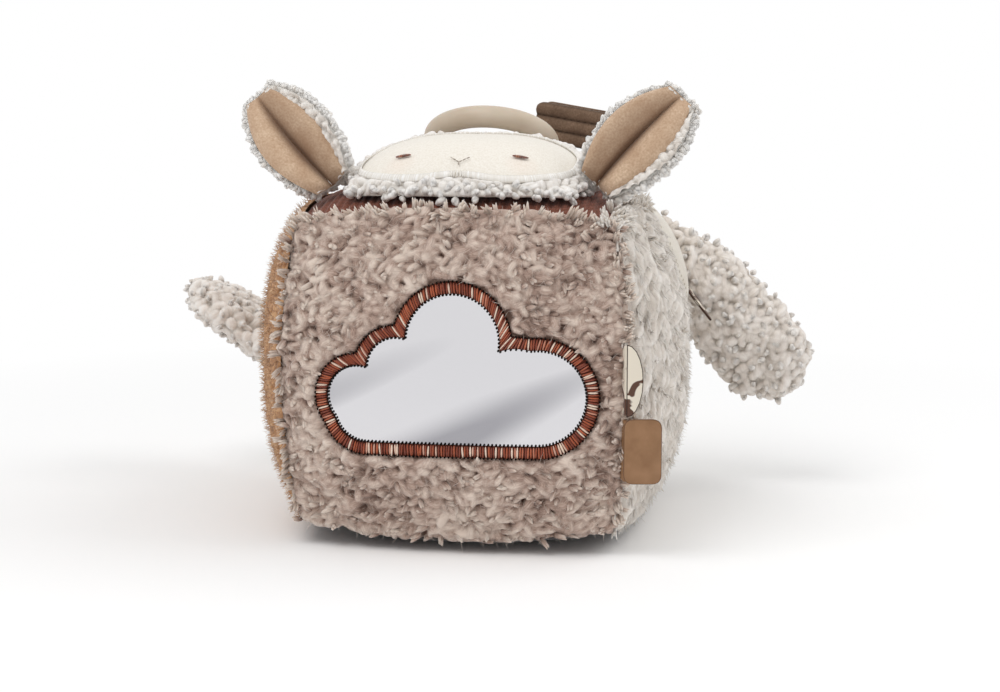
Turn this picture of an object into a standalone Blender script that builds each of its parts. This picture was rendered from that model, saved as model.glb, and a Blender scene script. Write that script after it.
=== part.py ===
"""Soft fabric activity block for a baby, with a lamb's head on its top.

A fibre filling carries six sewn panels. A cloud-shaped mirror is stitched into the front one.
The head, two ears, two arms, a ring, a strap and three tabs are sewn into the block's seams.
Units are metres, Z is up and the front looks along -Y. The origin is the middle of the base.
"""

import math

import bmesh
import bpy
from mathutils import Matrix, Vector

X, Y, Z = range(3)
LEFT, RIGHT, FRONT, BACK, BASE, TOP = (X, -1), (X, 1), (Y, -1), (Y, 1), (Z, -1), (Z, 1)

# The block, measured over its filling, and what its sides swell by
BLOCK_WIDTH = 0.140
BLOCK_DEPTH = 0.140
BLOCK_HEIGHT = 0.134
SIDE_CROWN = 0.018
FRONT_CROWN = 0.009
BACK_CROWN = 0.012
BASE_CROWN = 0.010
TOP_CROWN = 0.010
CROWN_POWER = 3
CORNER_PULL_SHARE = 0.08
BASE_FLAT_SHARE = 0.5
BLOCK_CELLS = 8

# Each panel's thickness, its pile included
LEFT_PILE = 0.0055
RIGHT_PILE = 0.008
FRONT_PILE = 0.007
BACK_PILE = 0.0025
KNIT_PILE = 0.002

# Clearances
LAYER_GAP = 0.0003
SEAM_GAP = 0.0003
SEAT_GAP = 0.0006
CUT_OVERRUN = 0.010

# The rattle in the middle of the filling
RATTLE_RADIUS = 0.017
RATTLE_WALL = 0.0015
BEAD_RADIUS = 0.0032
BEAD_CIRCLE_RADIUS = 0.0045
BEAD_CLEARANCE = 0.0008
BEAD_COUNT = 3
RATTLE_SIDES = 16

# The cloud mirror: its width, and its lobes' centres and radii as shares of that width,
# from the middle of its straight lower edge, anticlockwise from the lower right
CLOUD_WIDTH = 0.108
CLOUD_MIDDLE_X = 0.002
CLOUD_BASE_HEIGHT = 0.0472
CLOUD_LOBE_SHARES = (
    (0.320, 0.187, 0.187),
    (0.237, 0.196, 0.183),
    (-0.006, 0.400, 0.183),
    (-0.221, 0.294, 0.120),
    (-0.374, 0.177, 0.125),
    (-0.345, 0.127, 0.127),
)
CLOUD_POINT_STEP = 0.006
BORDER_WIDTH = 0.005
BACKING_THICKNESS = 0.0010
FOIL_THICKNESS = 0.0005
BORDER_THICKNESS = 0.0016

# The head, a domed pad on the top panel
HEAD_HALF_WIDTH = 0.0555
HEAD_HALF_DEPTH = 0.054
HEAD_CENTRE_Y = -0.012
HEAD_HEIGHT = 0.0190
HEAD_PILE = 0.004
HEAD_DOME_POWER = 3
HEAD_DOME_EDGE_POWER = 0.62
HEAD_CORNER_SHARE = 0.16
HEAD_CELLS = 12

# The face patch, and what is embroidered on it
FACE_HALF_WIDTH = 0.047
FACE_HALF_DEPTH = 0.0335
FACE_CENTRE_Y = -0.0270
FACE_NOTCH_DEPTH = 0.0015
FACE_NOTCH_HALF_WIDTH = 0.012
FACE_POINTS = 36
FACE_SQUARENESS = 0.75
FACE_THICKNESS = 0.0015
PIPING_WIDTH = 0.0022
PIPING_THICKNESS = 0.0012
EYE_LENGTH = 0.0062
EYE_WIDTH = 0.0018
EYE_SPACING = 0.0497
EYE_Y = -0.0475
EYE_TILT = math.radians(8)
EYE_POINTS = 8
NOSE_WIDTH = 0.0085
NOSE_DEPTH = 0.0029
NOSE_STEM = 0.0012
NOSE_THREAD = 0.0007
NOSE_Y = -0.0545
STITCH_THICKNESS = 0.0006

# The ears: leaf-shaped, folded along their length and open to the front. Their roots stand out
# from the head's side, forward of its middle, and rise from the top panel's edge
EAR_LENGTH = 0.052
EAR_HALF_WIDTH = 0.021
EAR_ROOT_OUT = 0.001
EAR_ROOT_FORWARD = 0.025
EAR_ROOT_RISE = 0.0075
EAR_HINGE_BACK = 0.0065
EAR_HINGE_DROP = 0.0018
EAR_SPLAY = math.radians(43)
EAR_LEAN = math.radians(8)
EAR_TURN = math.radians(14)
EAR_ROOT_FOLD_DEPTH = 0.011
EAR_TIP_FOLD_DEPTH = 0.006
EAR_PILE = 0.005
EAR_LINING_THICKNESS = 0.0015
EAR_FOIL_THICKNESS = 0.0004
EAR_LINING_SHARE = 0.86
EAR_FOIL_SHARE = 0.78
EAR_CELLS = 8
# The leaf's outline is a power of a sine, taken between two shares of its half turn
EAR_LEAF_START_SHARE = 0.16
EAR_LEAF_LENGTH_SHARE = 0.80
EAR_LEAF_SKEW = 0.85
EAR_LEAF_FULLNESS = 0.75
EAR_ROOT_WIDTH_SHARE = 0.62
EAR_FOLD_POWER = 1.4

# The arms, which stand out of the back's two upright seams
ARM_LENGTH = 0.098
ARM_WIDTH = 0.046
ARM_THICKNESS = 0.022
ARM_PILE = 0.0045
ARM_ROOT_OUT = 0.0022
ARM_ROOT_BACK = 0.0028
RIGHT_ARM_HEIGHT = 0.120
LEFT_ARM_HEIGHT = 0.0385
RIGHT_ARM_ANGLE = math.radians(-49.5)
LEFT_ARM_ANGLE = math.radians(33)
ARM_SIDES = 16
# Along the arm: the place as a share of its length, then the shares of its width and thickness
# that it has there. It is sewn flat into the seam at its root
ARM_SHARES = (
    (0.00, 0.27, 0.16),
    (0.10, 0.45, 0.30),
    (0.22, 0.70, 0.62),
    (0.36, 0.90, 0.88),
    (0.52, 0.97, 0.97),
    (0.68, 1.00, 1.00),
    (0.82, 0.97, 0.94),
    (0.92, 0.76, 0.72),
    (0.98, 0.42, 0.38),
)

# The ring, which leans over the back of the head and is held by a ribbon loop on the top back seam
RING_RADIUS = 0.0265
RING_TUBE_RADIUS = 0.0050
RING_X = -0.002
RING_TILT = math.radians(28)
RING_SIDES = 10
RING_SEGMENTS = 32
LOOP_WIDTH = 0.012
LOOP_THICKNESS = 0.0010
LOOP_SLACK = 0.0014
LOOP_STEM = 0.0005
LOOP_BENDS = 16
LOOP_LEAN = math.radians(45)

# The doubled strap behind the right ear
STRAP_LENGTH = 0.052
STRAP_WIDTH = 0.019
STRAP_PLY = 0.0024
STRAP_GAP = 0.0056
STRAP_FOOT_X = 0.055
STRAP_RISE = 0.0105
STRAP_FOOT_WIDTH = 0.022
STRAP_SLOPE = math.radians(8)
STRAP_TURN = math.radians(20)
STRAP_ROUNDING = 0.005
ROUNDING_STEPS = 5

# The tabs in the side seams
TAB_THICKNESS = 0.0010
TAB_ARC_POINTS = 10
FRONT_TAB_HEIGHT = 0.030
FRONT_TAB_REACH = 0.0068
FRONT_TAB_MIDDLE = 0.0757
FRONT_TAB_INSET = 0.0053
FRONT_TAB_ANGLE = math.radians(8)
LABEL_HEIGHT = 0.027
LABEL_REACH = 0.0155
LABEL_MIDDLE = 0.0465
LABEL_INSET = 0.0063
LABEL_ANGLE = math.radians(8)
LABEL_ROUNDING = 0.004
BACK_TAB_WIDTH = 0.009
BACK_TAB_REACH = 0.039
BACK_TAB_MIDDLE = 0.108
BACK_TAB_FORWARD = 0.0013
BACK_TAB_ANGLE = math.radians(-36)
BACK_TAB_DROOP = math.radians(39)
BACK_TAB_ROLL = math.radians(56)
# Along the leaf: the place as a share of its reach, and half its width there as a share of its width
LEAF_SHARES = ((0.00, 0.10), (0.18, 0.16), (0.45, 0.42), (0.68, 0.50), (0.88, 0.26), (1.00, 0.08))

HALF = (BLOCK_WIDTH / 2, BLOCK_DEPTH / 2, BLOCK_HEIGHT / 2)
CROWN = {
    LEFT: SIDE_CROWN,
    RIGHT: SIDE_CROWN,
    FRONT: FRONT_CROWN,
    BACK: BACK_CROWN,
    BASE: BASE_CROWN,
    TOP: TOP_CROWN,
}
PILE = {
    LEFT: LEFT_PILE,
    RIGHT: RIGHT_PILE,
    FRONT: FRONT_PILE,
    BACK: BACK_PILE,
    BASE: KNIT_PILE,
    TOP: KNIT_PILE,
}
BLOCK_CENTRE_Z = HALF[Z] + PILE[BASE] + CROWN[BASE] * BASE_FLAT_SHARE
TOP_EDGE_HEIGHT = BLOCK_CENTRE_Z + HALF[Z] + PILE[TOP]


def clear_scene():
    for thing in list(bpy.data.objects):
        bpy.data.objects.remove(thing)


def finish(name, colour, roughness, metallic=0.0):
    """A material whose colour is an sRGB hex value."""
    channels = [int(colour[i : i + 2], 16) / 255 for i in (1, 3, 5)]
    linear = [c / 12.92 if c <= 0.04045 else ((c + 0.055) / 1.055) ** 2.4 for c in channels]
    material = bpy.data.materials.new(name)
    material.use_nodes = True
    shader = material.node_tree.nodes["Principled BSDF"]
    shader.inputs["Base Color"].default_value = (*linear, 1)
    shader.inputs["Roughness"].default_value = roughness
    shader.inputs["Metallic"].default_value = metallic
    return material


def add_object(name, bm, material, smooth=True):
    """A new object from a bmesh, with its faces turned outwards."""
    bmesh.ops.recalc_face_normals(bm, faces=bm.faces[:])
    mesh = bpy.data.meshes.new(name)
    bm.to_mesh(mesh)
    bm.free()
    if smooth:
        mesh.shade_smooth()
    thing = bpy.data.objects.new(name, mesh)
    bpy.context.scene.collection.objects.link(thing)
    if material:
        mesh.materials.append(material)
    return thing


def pivot_empty(name, pivot, things):
    """An empty on a joint's axis, which carries the pieces that turn about it."""
    empty = bpy.data.objects.new(name, None)
    bpy.context.scene.collection.objects.link(empty)
    empty.location = pivot
    for thing in things:
        thing.data.transform(Matrix.Translation(-Vector(pivot)))
        thing.parent = empty
    return empty


def boolean(thing, cutter, operation):
    modifier = thing.modifiers.new(f"{operation.lower()} {cutter.name}", "BOOLEAN")
    modifier.operation = operation
    modifier.object = cutter
    modifier.solver = "EXACT"
    cutter.hide_render = True
    cutter.display_type = "WIRE"


def prism(name, outline, axis, low, high):
    """An outline in the plane across the axis, run from low to high along it."""
    bm = bmesh.new()
    ends = []
    for place in outline:
        end = list(place)
        end.insert(axis, low)
        ends.append(bm.verts.new(end))
    run = bmesh.ops.extrude_face_region(bm, geom=[bm.faces.new(ends)])
    step = Vector((0, 0, 0))
    step[axis] = high - low
    moved = [item for item in run["geom"] if isinstance(item, bmesh.types.BMVert)]
    bmesh.ops.translate(bm, verts=moved, vec=step)
    return add_object(name, bm, None, smooth=False)


# The block's surfaces


def block_point(unit, reach):
    """The place on the swelling block of a point on the unit cube, at a reach from its middle."""
    place = [0.0, 0.0, BLOCK_CENTRE_Z]
    for axis in (X, Y, Z):
        first, second = (unit[other] for other in (X, Y, Z) if other != axis)
        side = (axis, 1 if unit[axis] > 0 else -1)
        pull = 1 - CORNER_PULL_SHARE * first**2 * second**2
        place[axis] += unit[axis] * reach[side] * pull
        if abs(unit[axis]) == 1:
            full = (1 - abs(first) ** CROWN_POWER) * (1 - abs(second) ** CROWN_POWER)
            place[axis] += side[1] * CROWN[side] * full
    return Vector(place)


def reach_with(lift):
    """Each side's distance from the block's middle, its crown left out, at a lift over the filling."""
    return {side: HALF[side[0]] + lift[side] for side in PILE}


FILLING_REACH = reach_with({side: 0.0 for side in PILE})
UNDER_REACH = reach_with({side: LAYER_GAP for side in PILE})
OVER_REACH = reach_with(PILE)
BASE_LIFT = PILE[BASE]


def on_floor(place, height):
    """The base is pressed flat where it rests."""
    place.z = max(place.z, height)
    return place


def filling_point(unit):
    return on_floor(block_point(unit, FILLING_REACH), BASE_LIFT + LAYER_GAP)


def panel_point(unit, lift_share):
    """A point in the thickness of a panel: share 0 on its under side and 1 on its outer side."""
    under = on_floor(block_point(unit, UNDER_REACH), BASE_LIFT)
    over = on_floor(block_point(unit, OVER_REACH), 0.0)
    return under.lerp(over, lift_share)


def unit_block():
    """A cube of 2 x 2 x 2 whose sides are grids of triangles, the same for every layer."""
    bm = bmesh.new()
    bmesh.ops.create_cube(bm, size=2)
    bmesh.ops.subdivide_edges(bm, edges=bm.edges[:], cuts=BLOCK_CELLS - 1, use_grid_fill=True)
    bmesh.ops.triangulate(bm, faces=bm.faces[:], quad_method="FIXED")
    return bm


def side_layer(name, side, low_share, high_share, material):
    """A layer of one side's panel, between two shares of its thickness, clear of its neighbours."""
    bm = unit_block()
    axis, sign = side
    within_share = 1 - 1 / BLOCK_CELLS
    others = [f for f in bm.faces if f.calc_center_median()[axis] * sign < within_share]
    bmesh.ops.delete(bm, geom=others, context="FACES")
    run = bmesh.ops.extrude_face_region(bm, geom=bm.faces[:])
    upper = {item for item in run["geom"] if isinstance(item, bmesh.types.BMVert)}
    for vert in bm.verts:
        unit = [
            vert.co[a] if a == axis else vert.co[a] * (1 - SEAM_GAP / HALF[a]) for a in (X, Y, Z)
        ]
        unit[axis] = float(sign)
        vert.co = panel_point(unit, high_share if vert in upper else low_share)
    return add_object(name, bm, material)


def top_surface(x, y):
    """The height of the top panel's outer side over a point of the plan."""
    across, along = 0.0, 0.0
    for _ in range(4):
        side_x = RIGHT if x > 0 else LEFT
        side_y = BACK if y > 0 else FRONT
        across = x / (OVER_REACH[side_x] * (1 - CORNER_PULL_SHARE * along**2))
        along = y / (OVER_REACH[side_y] * (1 - CORNER_PULL_SHARE * across**2))
    across, along = max(-1, min(1, across)), max(-1, min(1, along))
    return panel_point((across, along, 1.0), 1.0).z


def seam_corner(side_x, side_y, height, half, out):
    """The outer corner of an upright seam, moved outwards to clear a piece that reaches half its
    length above and below a height."""
    drop = max(0.0, abs(height - BLOCK_CENTRE_Z) - half) / HALF[Z]
    pull = 1 - CORNER_PULL_SHARE * drop**2
    x = side_x[1] * (HALF[X] + PILE[side_x]) * pull
    y = side_y[1] * (HALF[Y] + PILE[side_y]) * pull
    return Vector((x, y, height)) + Vector((side_x[1], side_y[1], 0)).normalized() * out


# The filling and the rattle


def ball(name, radius, material, sides=RATTLE_SIDES):
    bm = bmesh.new()
    bmesh.ops.create_uvsphere(bm, u_segments=sides, v_segments=sides // 2 + 2, radius=radius)
    thing = add_object(name, bm, material)
    thing.location.z = BLOCK_CENTRE_Z
    return thing


def half_of(bm, height, keep_lower):
    """Cuts a closed bmesh level at a height, keeps one half and closes it."""
    cut = bmesh.ops.bisect_plane(
        bm,
        geom=bm.verts[:] + bm.edges[:] + bm.faces[:],
        plane_co=(0, 0, height),
        plane_no=(0, 0, 1 if keep_lower else -1),
        clear_outer=True,
    )
    rim = [item for item in cut["geom_cut"] if isinstance(item, bmesh.types.BMEdge)]
    bmesh.ops.holes_fill(bm, edges=rim)


def make_filling(material):
    pocket = ball("pocket_cutter", RATTLE_RADIUS + LAYER_GAP, None)
    for name, keep_lower in (("filling_lower", True), ("filling_upper", False)):
        bm = unit_block()
        for vert in bm.verts:
            vert.co = filling_point(vert.co[:])
        half_of(bm, BLOCK_CENTRE_Z - (1 if keep_lower else -1) * LAYER_GAP / 2, keep_lower)
        boolean(add_object(name, bm, material), pocket, "DIFFERENCE")


def make_rattle(shell_material, bead_material):
    hollow = ball("rattle_hollow_cutter", RATTLE_RADIUS - RATTLE_WALL, None)
    for name, keep_lower in (("rattle_shell_lower", True), ("rattle_shell_upper", False)):
        bm = bmesh.new()
        bmesh.ops.create_uvsphere(
            bm, u_segments=RATTLE_SIDES, v_segments=RATTLE_SIDES // 2 + 2, radius=RATTLE_RADIUS
        )
        half_of(bm, -(1 if keep_lower else -1) * LAYER_GAP / 2, keep_lower)
        shell = add_object(name, bm, shell_material)
        shell.location.z = BLOCK_CENTRE_Z
        boolean(shell, hollow, "DIFFERENCE")
    reach = RATTLE_RADIUS - RATTLE_WALL - BEAD_CLEARANCE - BEAD_RADIUS
    drop = math.sqrt(reach**2 - BEAD_CIRCLE_RADIUS**2)
    for number in range(BEAD_COUNT):
        turn = math.tau * number / BEAD_COUNT
        bm = bmesh.new()
        bmesh.ops.create_icosphere(bm, subdivisions=2, radius=BEAD_RADIUS)
        bead = add_object(f"rattle_bead_{number + 1}", bm, bead_material)
        bead.location = (
            BEAD_CIRCLE_RADIUS * math.cos(turn),
            BEAD_CIRCLE_RADIUS * math.sin(turn),
            BLOCK_CENTRE_Z - drop,
        )


# The cloud mirror


def meeting(first, second):
    """Where two circles cross, on the right of the way from the first to the second."""
    (x1, y1, r1), (x2, y2, r2) = first, second
    span = math.hypot(x2 - x1, y2 - y1)
    along = (span**2 + r1**2 - r2**2) / (2 * span)
    across = math.sqrt(max(r1**2 - along**2, 0.0))
    ux, uy = (x2 - x1) / span, (y2 - y1) / span
    return x1 + along * ux + across * uy, y1 + along * uy - across * ux


def cloud_outline(grow):
    """The cloud's outline in the X-Z plane, anticlockwise, moved outwards by grow."""
    lobes = [
        (
            CLOUD_MIDDLE_X + x * CLOUD_WIDTH,
            CLOUD_BASE_HEIGHT + z * CLOUD_WIDTH,
            r * CLOUD_WIDTH + grow,
        )
        for x, z, r in CLOUD_LOBE_SHARES
    ]
    joins = [meeting(a, b) for a, b in zip(lobes, lobes[1:])]
    first, last = lobes[0], lobes[-1]
    joins = [(first[0], first[1] - first[2]), *joins, (last[0], last[1] - last[2])]
    points = []
    for (x, z, radius), start, end in zip(lobes, joins, joins[1:]):
        from_angle = math.atan2(start[1] - z, start[0] - x)
        swing = (math.atan2(end[1] - z, end[0] - x) - from_angle) % math.tau
        steps = max(2, round(swing * radius / CLOUD_POINT_STEP))
        for step in range(steps):
            angle = from_angle + swing * step / steps
            points.append((x + radius * math.cos(angle), z + radius * math.sin(angle)))
    points.append(joins[-1])
    return points


def cloud_prism(name, grow):
    front = -HALF[Y] - CROWN[FRONT] - PILE[FRONT] - CUT_OVERRUN
    return prism(name, cloud_outline(grow), Y, front, -HALF[Y] * (1 - CORNER_PULL_SHARE))


def make_front(panel_material, backing_material, foil_material, thread_material):
    window = cloud_prism("cloud_window_cutter", BORDER_WIDTH + LAYER_GAP)
    border_edge = cloud_prism("cloud_border_cutter", BORDER_WIDTH)
    mirror_edge = cloud_prism("cloud_mirror_cutter", 0.0)
    boolean(side_layer("front_panel", FRONT, 0, 1, panel_material), window, "DIFFERENCE")
    level = 0.0
    for name, thickness, material in (
        ("mirror_backing", BACKING_THICKNESS, backing_material),
        ("mirror_foil", FOIL_THICKNESS, foil_material),
        ("mirror_stitch_border", BORDER_THICKNESS, thread_material),
    ):
        low, high = level / PILE[FRONT], (level + thickness) / PILE[FRONT]
        layer = side_layer(name, FRONT, low, high, material)
        boolean(layer, border_edge, "INTERSECT")
        level += thickness + LAYER_GAP
    boolean(layer, mirror_edge, "DIFFERENCE")


# The head


def head_point(s, t, inset, low_share=1.0):
    """A point of the head's dome over the square's point (s, t), inset from the outer side.
    low_share 1 is the dome itself, and 0 is the head's seat on the top panel."""
    s, t = math.sin(s * math.pi / 2), math.sin(t * math.pi / 2)
    x = (HEAD_HALF_WIDTH - inset) * s * (1 - HEAD_CORNER_SHARE * t**2)
    y = HEAD_CENTRE_Y + (HEAD_HALF_DEPTH - inset) * t * (1 - HEAD_CORNER_SHARE * s**2)
    full = (1 - abs(s) ** HEAD_DOME_POWER) * (1 - abs(t) ** HEAD_DOME_POWER)
    rise = max(0.0, full) ** HEAD_DOME_EDGE_POWER
    seat = top_surface(x, y) + SEAT_GAP
    return Vector((x, y, seat + low_share * (HEAD_HEIGHT - inset) * rise))


def quilt(name, cells, under, over, material):
    """A closed pad over a square grid: its lower side follows under(s, t), its upper side over(s, t)."""
    bm = bmesh.new()
    bmesh.ops.create_grid(bm, x_segments=cells, y_segments=cells, size=1)
    bmesh.ops.triangulate(bm, faces=bm.faces[:], quad_method="FIXED")
    run = bmesh.ops.extrude_face_region(bm, geom=bm.faces[:])
    upper = {item for item in run["geom"] if isinstance(item, bmesh.types.BMVert)}
    for vert in bm.verts:
        s, t = vert.co.x, vert.co.y
        vert.co = over(s, t) if vert in upper else under(s, t)
    return add_object(name, bm, material)


def head_layer(name, low_inset, high_inset, material):
    return quilt(
        name,
        HEAD_CELLS,
        lambda s, t: head_point(s, t, low_inset),
        lambda s, t: head_point(s, t, high_inset),
        material,
    )


def face_outline(inset):
    """The face patch in plan, with a shallow notch in the middle of its front edge."""
    points = []
    for number in range(FACE_POINTS):
        angle = math.tau * number / FACE_POINTS
        across, along = math.cos(angle), math.sin(angle)
        x = (FACE_HALF_WIDTH - inset) * math.copysign(abs(across) ** FACE_SQUARENESS, across)
        y = (FACE_HALF_DEPTH - inset) * math.copysign(abs(along) ** FACE_SQUARENESS, along)
        if y < 0:
            y += FACE_NOTCH_DEPTH * math.exp(-((x / FACE_NOTCH_HALF_WIDTH) ** 2))
        points.append((x, FACE_CENTRE_Y + y))
    return points


def head_prism(name, outline):
    top = BLOCK_CENTRE_Z + HALF[Z] + CROWN[TOP] + HEAD_HEIGHT + CUT_OVERRUN
    return prism(name, outline, Z, BLOCK_CENTRE_Z + HALF[Z] * (1 - CORNER_PULL_SHARE), top)


def eye_outline(side):
    """A lens, whose outer end is turned up a little."""
    points = []
    for number in range(EYE_POINTS):
        angle = math.tau * number / EYE_POINTS
        u, v = EYE_LENGTH / 2 * math.cos(angle), EYE_WIDTH / 2 * math.sin(angle)
        turned = Matrix.Rotation(-side * EYE_TILT, 2) @ Vector((u, v))
        points.append((side * EYE_SPACING / 2 + turned.x, EYE_Y + turned.y))
    return points


def nose_outline():
    """A Y of thread: two arms that meet, and a short stem."""
    half, thread, fork = NOSE_WIDTH / 2, NOSE_THREAD, NOSE_Y
    right_side = [
        (thread / 2, fork - NOSE_STEM),
        (thread / 2, fork),
        (half, fork + NOSE_DEPTH - thread / 2),
        (half - thread / 2, fork + NOSE_DEPTH),
    ]
    left_side = [(-x, y) for x, y in reversed(right_side)]
    return [*right_side, (0.0, fork + thread), *left_side]


def make_head(fill_material, fleece_material, velour_material, piping_material, thread_material):
    gap = LAYER_GAP
    quilt(
        "head_filling",
        HEAD_CELLS,
        lambda s, t: head_point(s, t, HEAD_PILE + gap, 0.0),
        lambda s, t: head_point(s, t, HEAD_PILE + gap),
        fill_material,
    )
    cover = head_cover(fleece_material)
    boolean(cover, head_prism("face_window_cutter", face_outline(-gap)), "DIFFERENCE")
    patch_edge = head_prism("face_patch_cutter", face_outline(0.0))
    patch = head_layer("face_patch", HEAD_PILE, HEAD_PILE - FACE_THICKNESS, velour_material)
    boolean(patch, patch_edge, "INTERSECT")
    level = HEAD_PILE - FACE_THICKNESS - gap
    piping = head_layer("face_piping", level, level - PIPING_THICKNESS, piping_material)
    boolean(piping, patch_edge, "INTERSECT")
    boolean(piping, head_prism("piping_cutter", face_outline(PIPING_WIDTH)), "DIFFERENCE")
    for name, outline in (
        ("eye_left", eye_outline(-1)),
        ("eye_right", eye_outline(1)),
        ("nose_stitch", nose_outline()),
    ):
        stitch = head_layer(name, level, level - STITCH_THICKNESS, thread_material)
        boolean(stitch, head_prism(f"{name}_cutter", outline), "INTERSECT")


def head_cover(material):
    """The fleece shell over the head's filling, open below, with its rim on the top panel."""
    bm = bmesh.new()
    bmesh.ops.create_grid(bm, x_segments=HEAD_CELLS, y_segments=HEAD_CELLS, size=1)
    bmesh.ops.triangulate(bm, faces=bm.faces[:], quad_method="FIXED")
    run = bmesh.ops.extrude_face_region(bm, geom=bm.faces[:])
    upper = {item for item in run["geom"] if isinstance(item, bmesh.types.BMVert)}
    for vert in bm.verts:
        vert.co = head_point(vert.co.x, vert.co.y, 0.0 if vert in upper else HEAD_PILE)
    return add_object("head_cover", bm, material)


# The ears


def ear_frame(side):
    """Root, and the ear's own directions: along it, across it, and the way that it opens."""
    along = Vector((side * math.sin(EAR_SPLAY), math.sin(EAR_LEAN), math.cos(EAR_SPLAY)))
    along.normalize()
    facing = Vector((-side * math.sin(EAR_TURN), -math.cos(EAR_TURN), 0))
    facing = (facing - along * facing.dot(along)).normalized()
    x = side * (HEAD_HALF_WIDTH + EAR_ROOT_OUT)
    root = Vector((x, HEAD_CENTRE_Y - EAR_ROOT_FORWARD, TOP_EDGE_HEIGHT + EAR_ROOT_RISE))
    return root, along, along.cross(facing), facing


def ear_point(side, s, t, share, forward):
    """A point of an ear's layer: s across and t along, both -1 to 1, on the part that share keeps."""
    root, along, across, facing = ear_frame(side)
    u = (t + 1) / 2 * (1 - (1 - share) / 2)
    v = s * share
    turn = (EAR_LEAF_START_SHARE + EAR_LEAF_LENGTH_SHARE * u) ** EAR_LEAF_SKEW
    leaf = math.sin(math.pi * turn) ** EAR_LEAF_FULLNESS
    fold = EAR_ROOT_FOLD_DEPTH + (EAR_TIP_FOLD_DEPTH - EAR_ROOT_FOLD_DEPTH) * u
    place = root + along * EAR_LENGTH * u
    place += across * EAR_HALF_WIDTH * leaf * v * (EAR_ROOT_WIDTH_SHARE * (1 - u) + u)
    return place + facing * (fold * leaf * abs(v) ** EAR_FOLD_POWER + forward)


def make_ear(side, outer_material, foil_material, lining_material):
    word = "left" if side < 0 else "right"
    level = -EAR_PILE
    layers = []
    for piece, share, thickness, material in (
        ("outer", 1.0, EAR_PILE, outer_material),
        ("crinkle_foil", EAR_FOIL_SHARE, EAR_FOIL_THICKNESS, foil_material),
        ("lining", EAR_LINING_SHARE, EAR_LINING_THICKNESS, lining_material),
    ):
        low, high = level, level + thickness
        layers.append(
            quilt(
                f"ear_{word}_{piece}",
                EAR_CELLS,
                lambda s, t, low=low, share=share: ear_point(side, s, t, share, low),
                lambda s, t, high=high, share=share: ear_point(side, s, t, share, high),
                material,
            )
        )
        level = high + LAYER_GAP
    hinge = ear_frame(side)[0] + Vector((0, EAR_HINGE_BACK, -EAR_HINGE_DROP))
    pivot_empty(f"ear_{word}_pivot", hinge, layers)


# The arms


def arm_rings(root, along, across, pile, gap=0.0):
    """Rings of points along an arm, from its root to its tip, under a pile and a gap."""
    depth = along.cross(across)
    rings = []
    for place_share, width_share, depth_share in ARM_SHARES:
        place = root + along * place_share * (ARM_LENGTH - pile - gap)
        half_width = width_share * (ARM_WIDTH / 2 - pile) - gap
        half_depth = depth_share * (ARM_THICKNESS / 2 - pile) - gap
        rings.append(
            [
                place
                + across * half_width * math.cos(math.tau * n / ARM_SIDES)
                + depth * half_depth * math.sin(math.tau * n / ARM_SIDES)
                for n in range(ARM_SIDES)
            ]
        )
    return rings, root + along * (ARM_LENGTH - pile - gap)


def skin_over(bm, rings, tip):
    """Faces over a row of rings, closed to a point at the tip. The first ring stays open."""
    loops = [[bm.verts.new(place) for place in ring] for ring in rings]
    count = len(loops[0])
    for lower, upper in zip(loops, loops[1:]):
        for n in range(count):
            m = (n + 1) % count
            bm.faces.new((lower[n], lower[m], upper[m], upper[n]))
    end = bm.verts.new(tip)
    for n in range(count):
        bm.faces.new((loops[-1][n], loops[-1][(n + 1) % count], end))
    return loops[0]


def make_arm(word, side, height, angle, across, skin_material, fill_material):
    along = Vector((side[1] * math.cos(angle), 0, math.sin(angle)))
    root = seam_corner(side, BACK, height, 0.0, ARM_ROOT_OUT) + Vector((0, ARM_ROOT_BACK, 0))
    bm = bmesh.new()
    outer = skin_over(bm, *arm_rings(root, along, across, 0))
    inner = skin_over(bm, *arm_rings(root, along, across, ARM_PILE))
    for n, m in ((n, (n + 1) % ARM_SIDES) for n in range(ARM_SIDES)):
        bm.faces.new((outer[n], inner[n], inner[m], outer[m]))
    skin = add_object(f"arm_{word}_skin", bm, skin_material)
    bm = bmesh.new()
    bm.faces.new(skin_over(bm, *arm_rings(root, along, across, ARM_PILE, LAYER_GAP)))
    filling = add_object(f"arm_{word}_filling", bm, fill_material)
    pivot_empty(f"arm_{word}_pivot", root, [skin, filling])


# The ring and its loop


def ring_pivot():
    """The middle of the ring's tube where the loop holds it, over the top back seam."""
    y = HALF[Y] + PILE[BACK] / 2
    seam = top_surface(RING_X, y - LOOP_THICKNESS) + SEAT_GAP
    reach = LOOP_STEM + LOOP_THICKNESS + LOOP_SLACK + RING_TUBE_RADIUS
    return Vector((RING_X, y, seam + reach))


def make_ring(material):
    bm = bmesh.new()
    bmesh.ops.create_circle(bm, segments=RING_SIDES, radius=RING_TUBE_RADIUS)
    bmesh.ops.rotate(bm, verts=bm.verts[:], matrix=Matrix.Rotation(math.pi / 2, 3, "Y"))
    bmesh.ops.translate(bm, verts=bm.verts[:], vec=(0, RING_RADIUS, 0))
    bmesh.ops.spin(
        bm,
        geom=bm.verts[:] + bm.edges[:],
        axis=(0, 0, 1),
        cent=(0, 0, 0),
        angle=math.tau,
        steps=RING_SEGMENTS,
        use_merge=True,
    )
    bmesh.ops.translate(bm, verts=bm.verts[:], vec=(0, -RING_RADIUS, 0))
    ring = add_object("teether_ring", bm, material)
    ring.matrix_world = Matrix.Translation(ring_pivot()) @ Matrix.Rotation(-RING_TILT, 4, "X")


def arc(radius, from_angle, to_angle, steps):
    """Points of an arc round the origin of a plane, both its ends included."""
    angles = [from_angle + (to_angle - from_angle) * n / steps for n in range(steps + 1)]
    return [(radius * math.cos(angle), radius * math.sin(angle)) for angle in angles]


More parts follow.
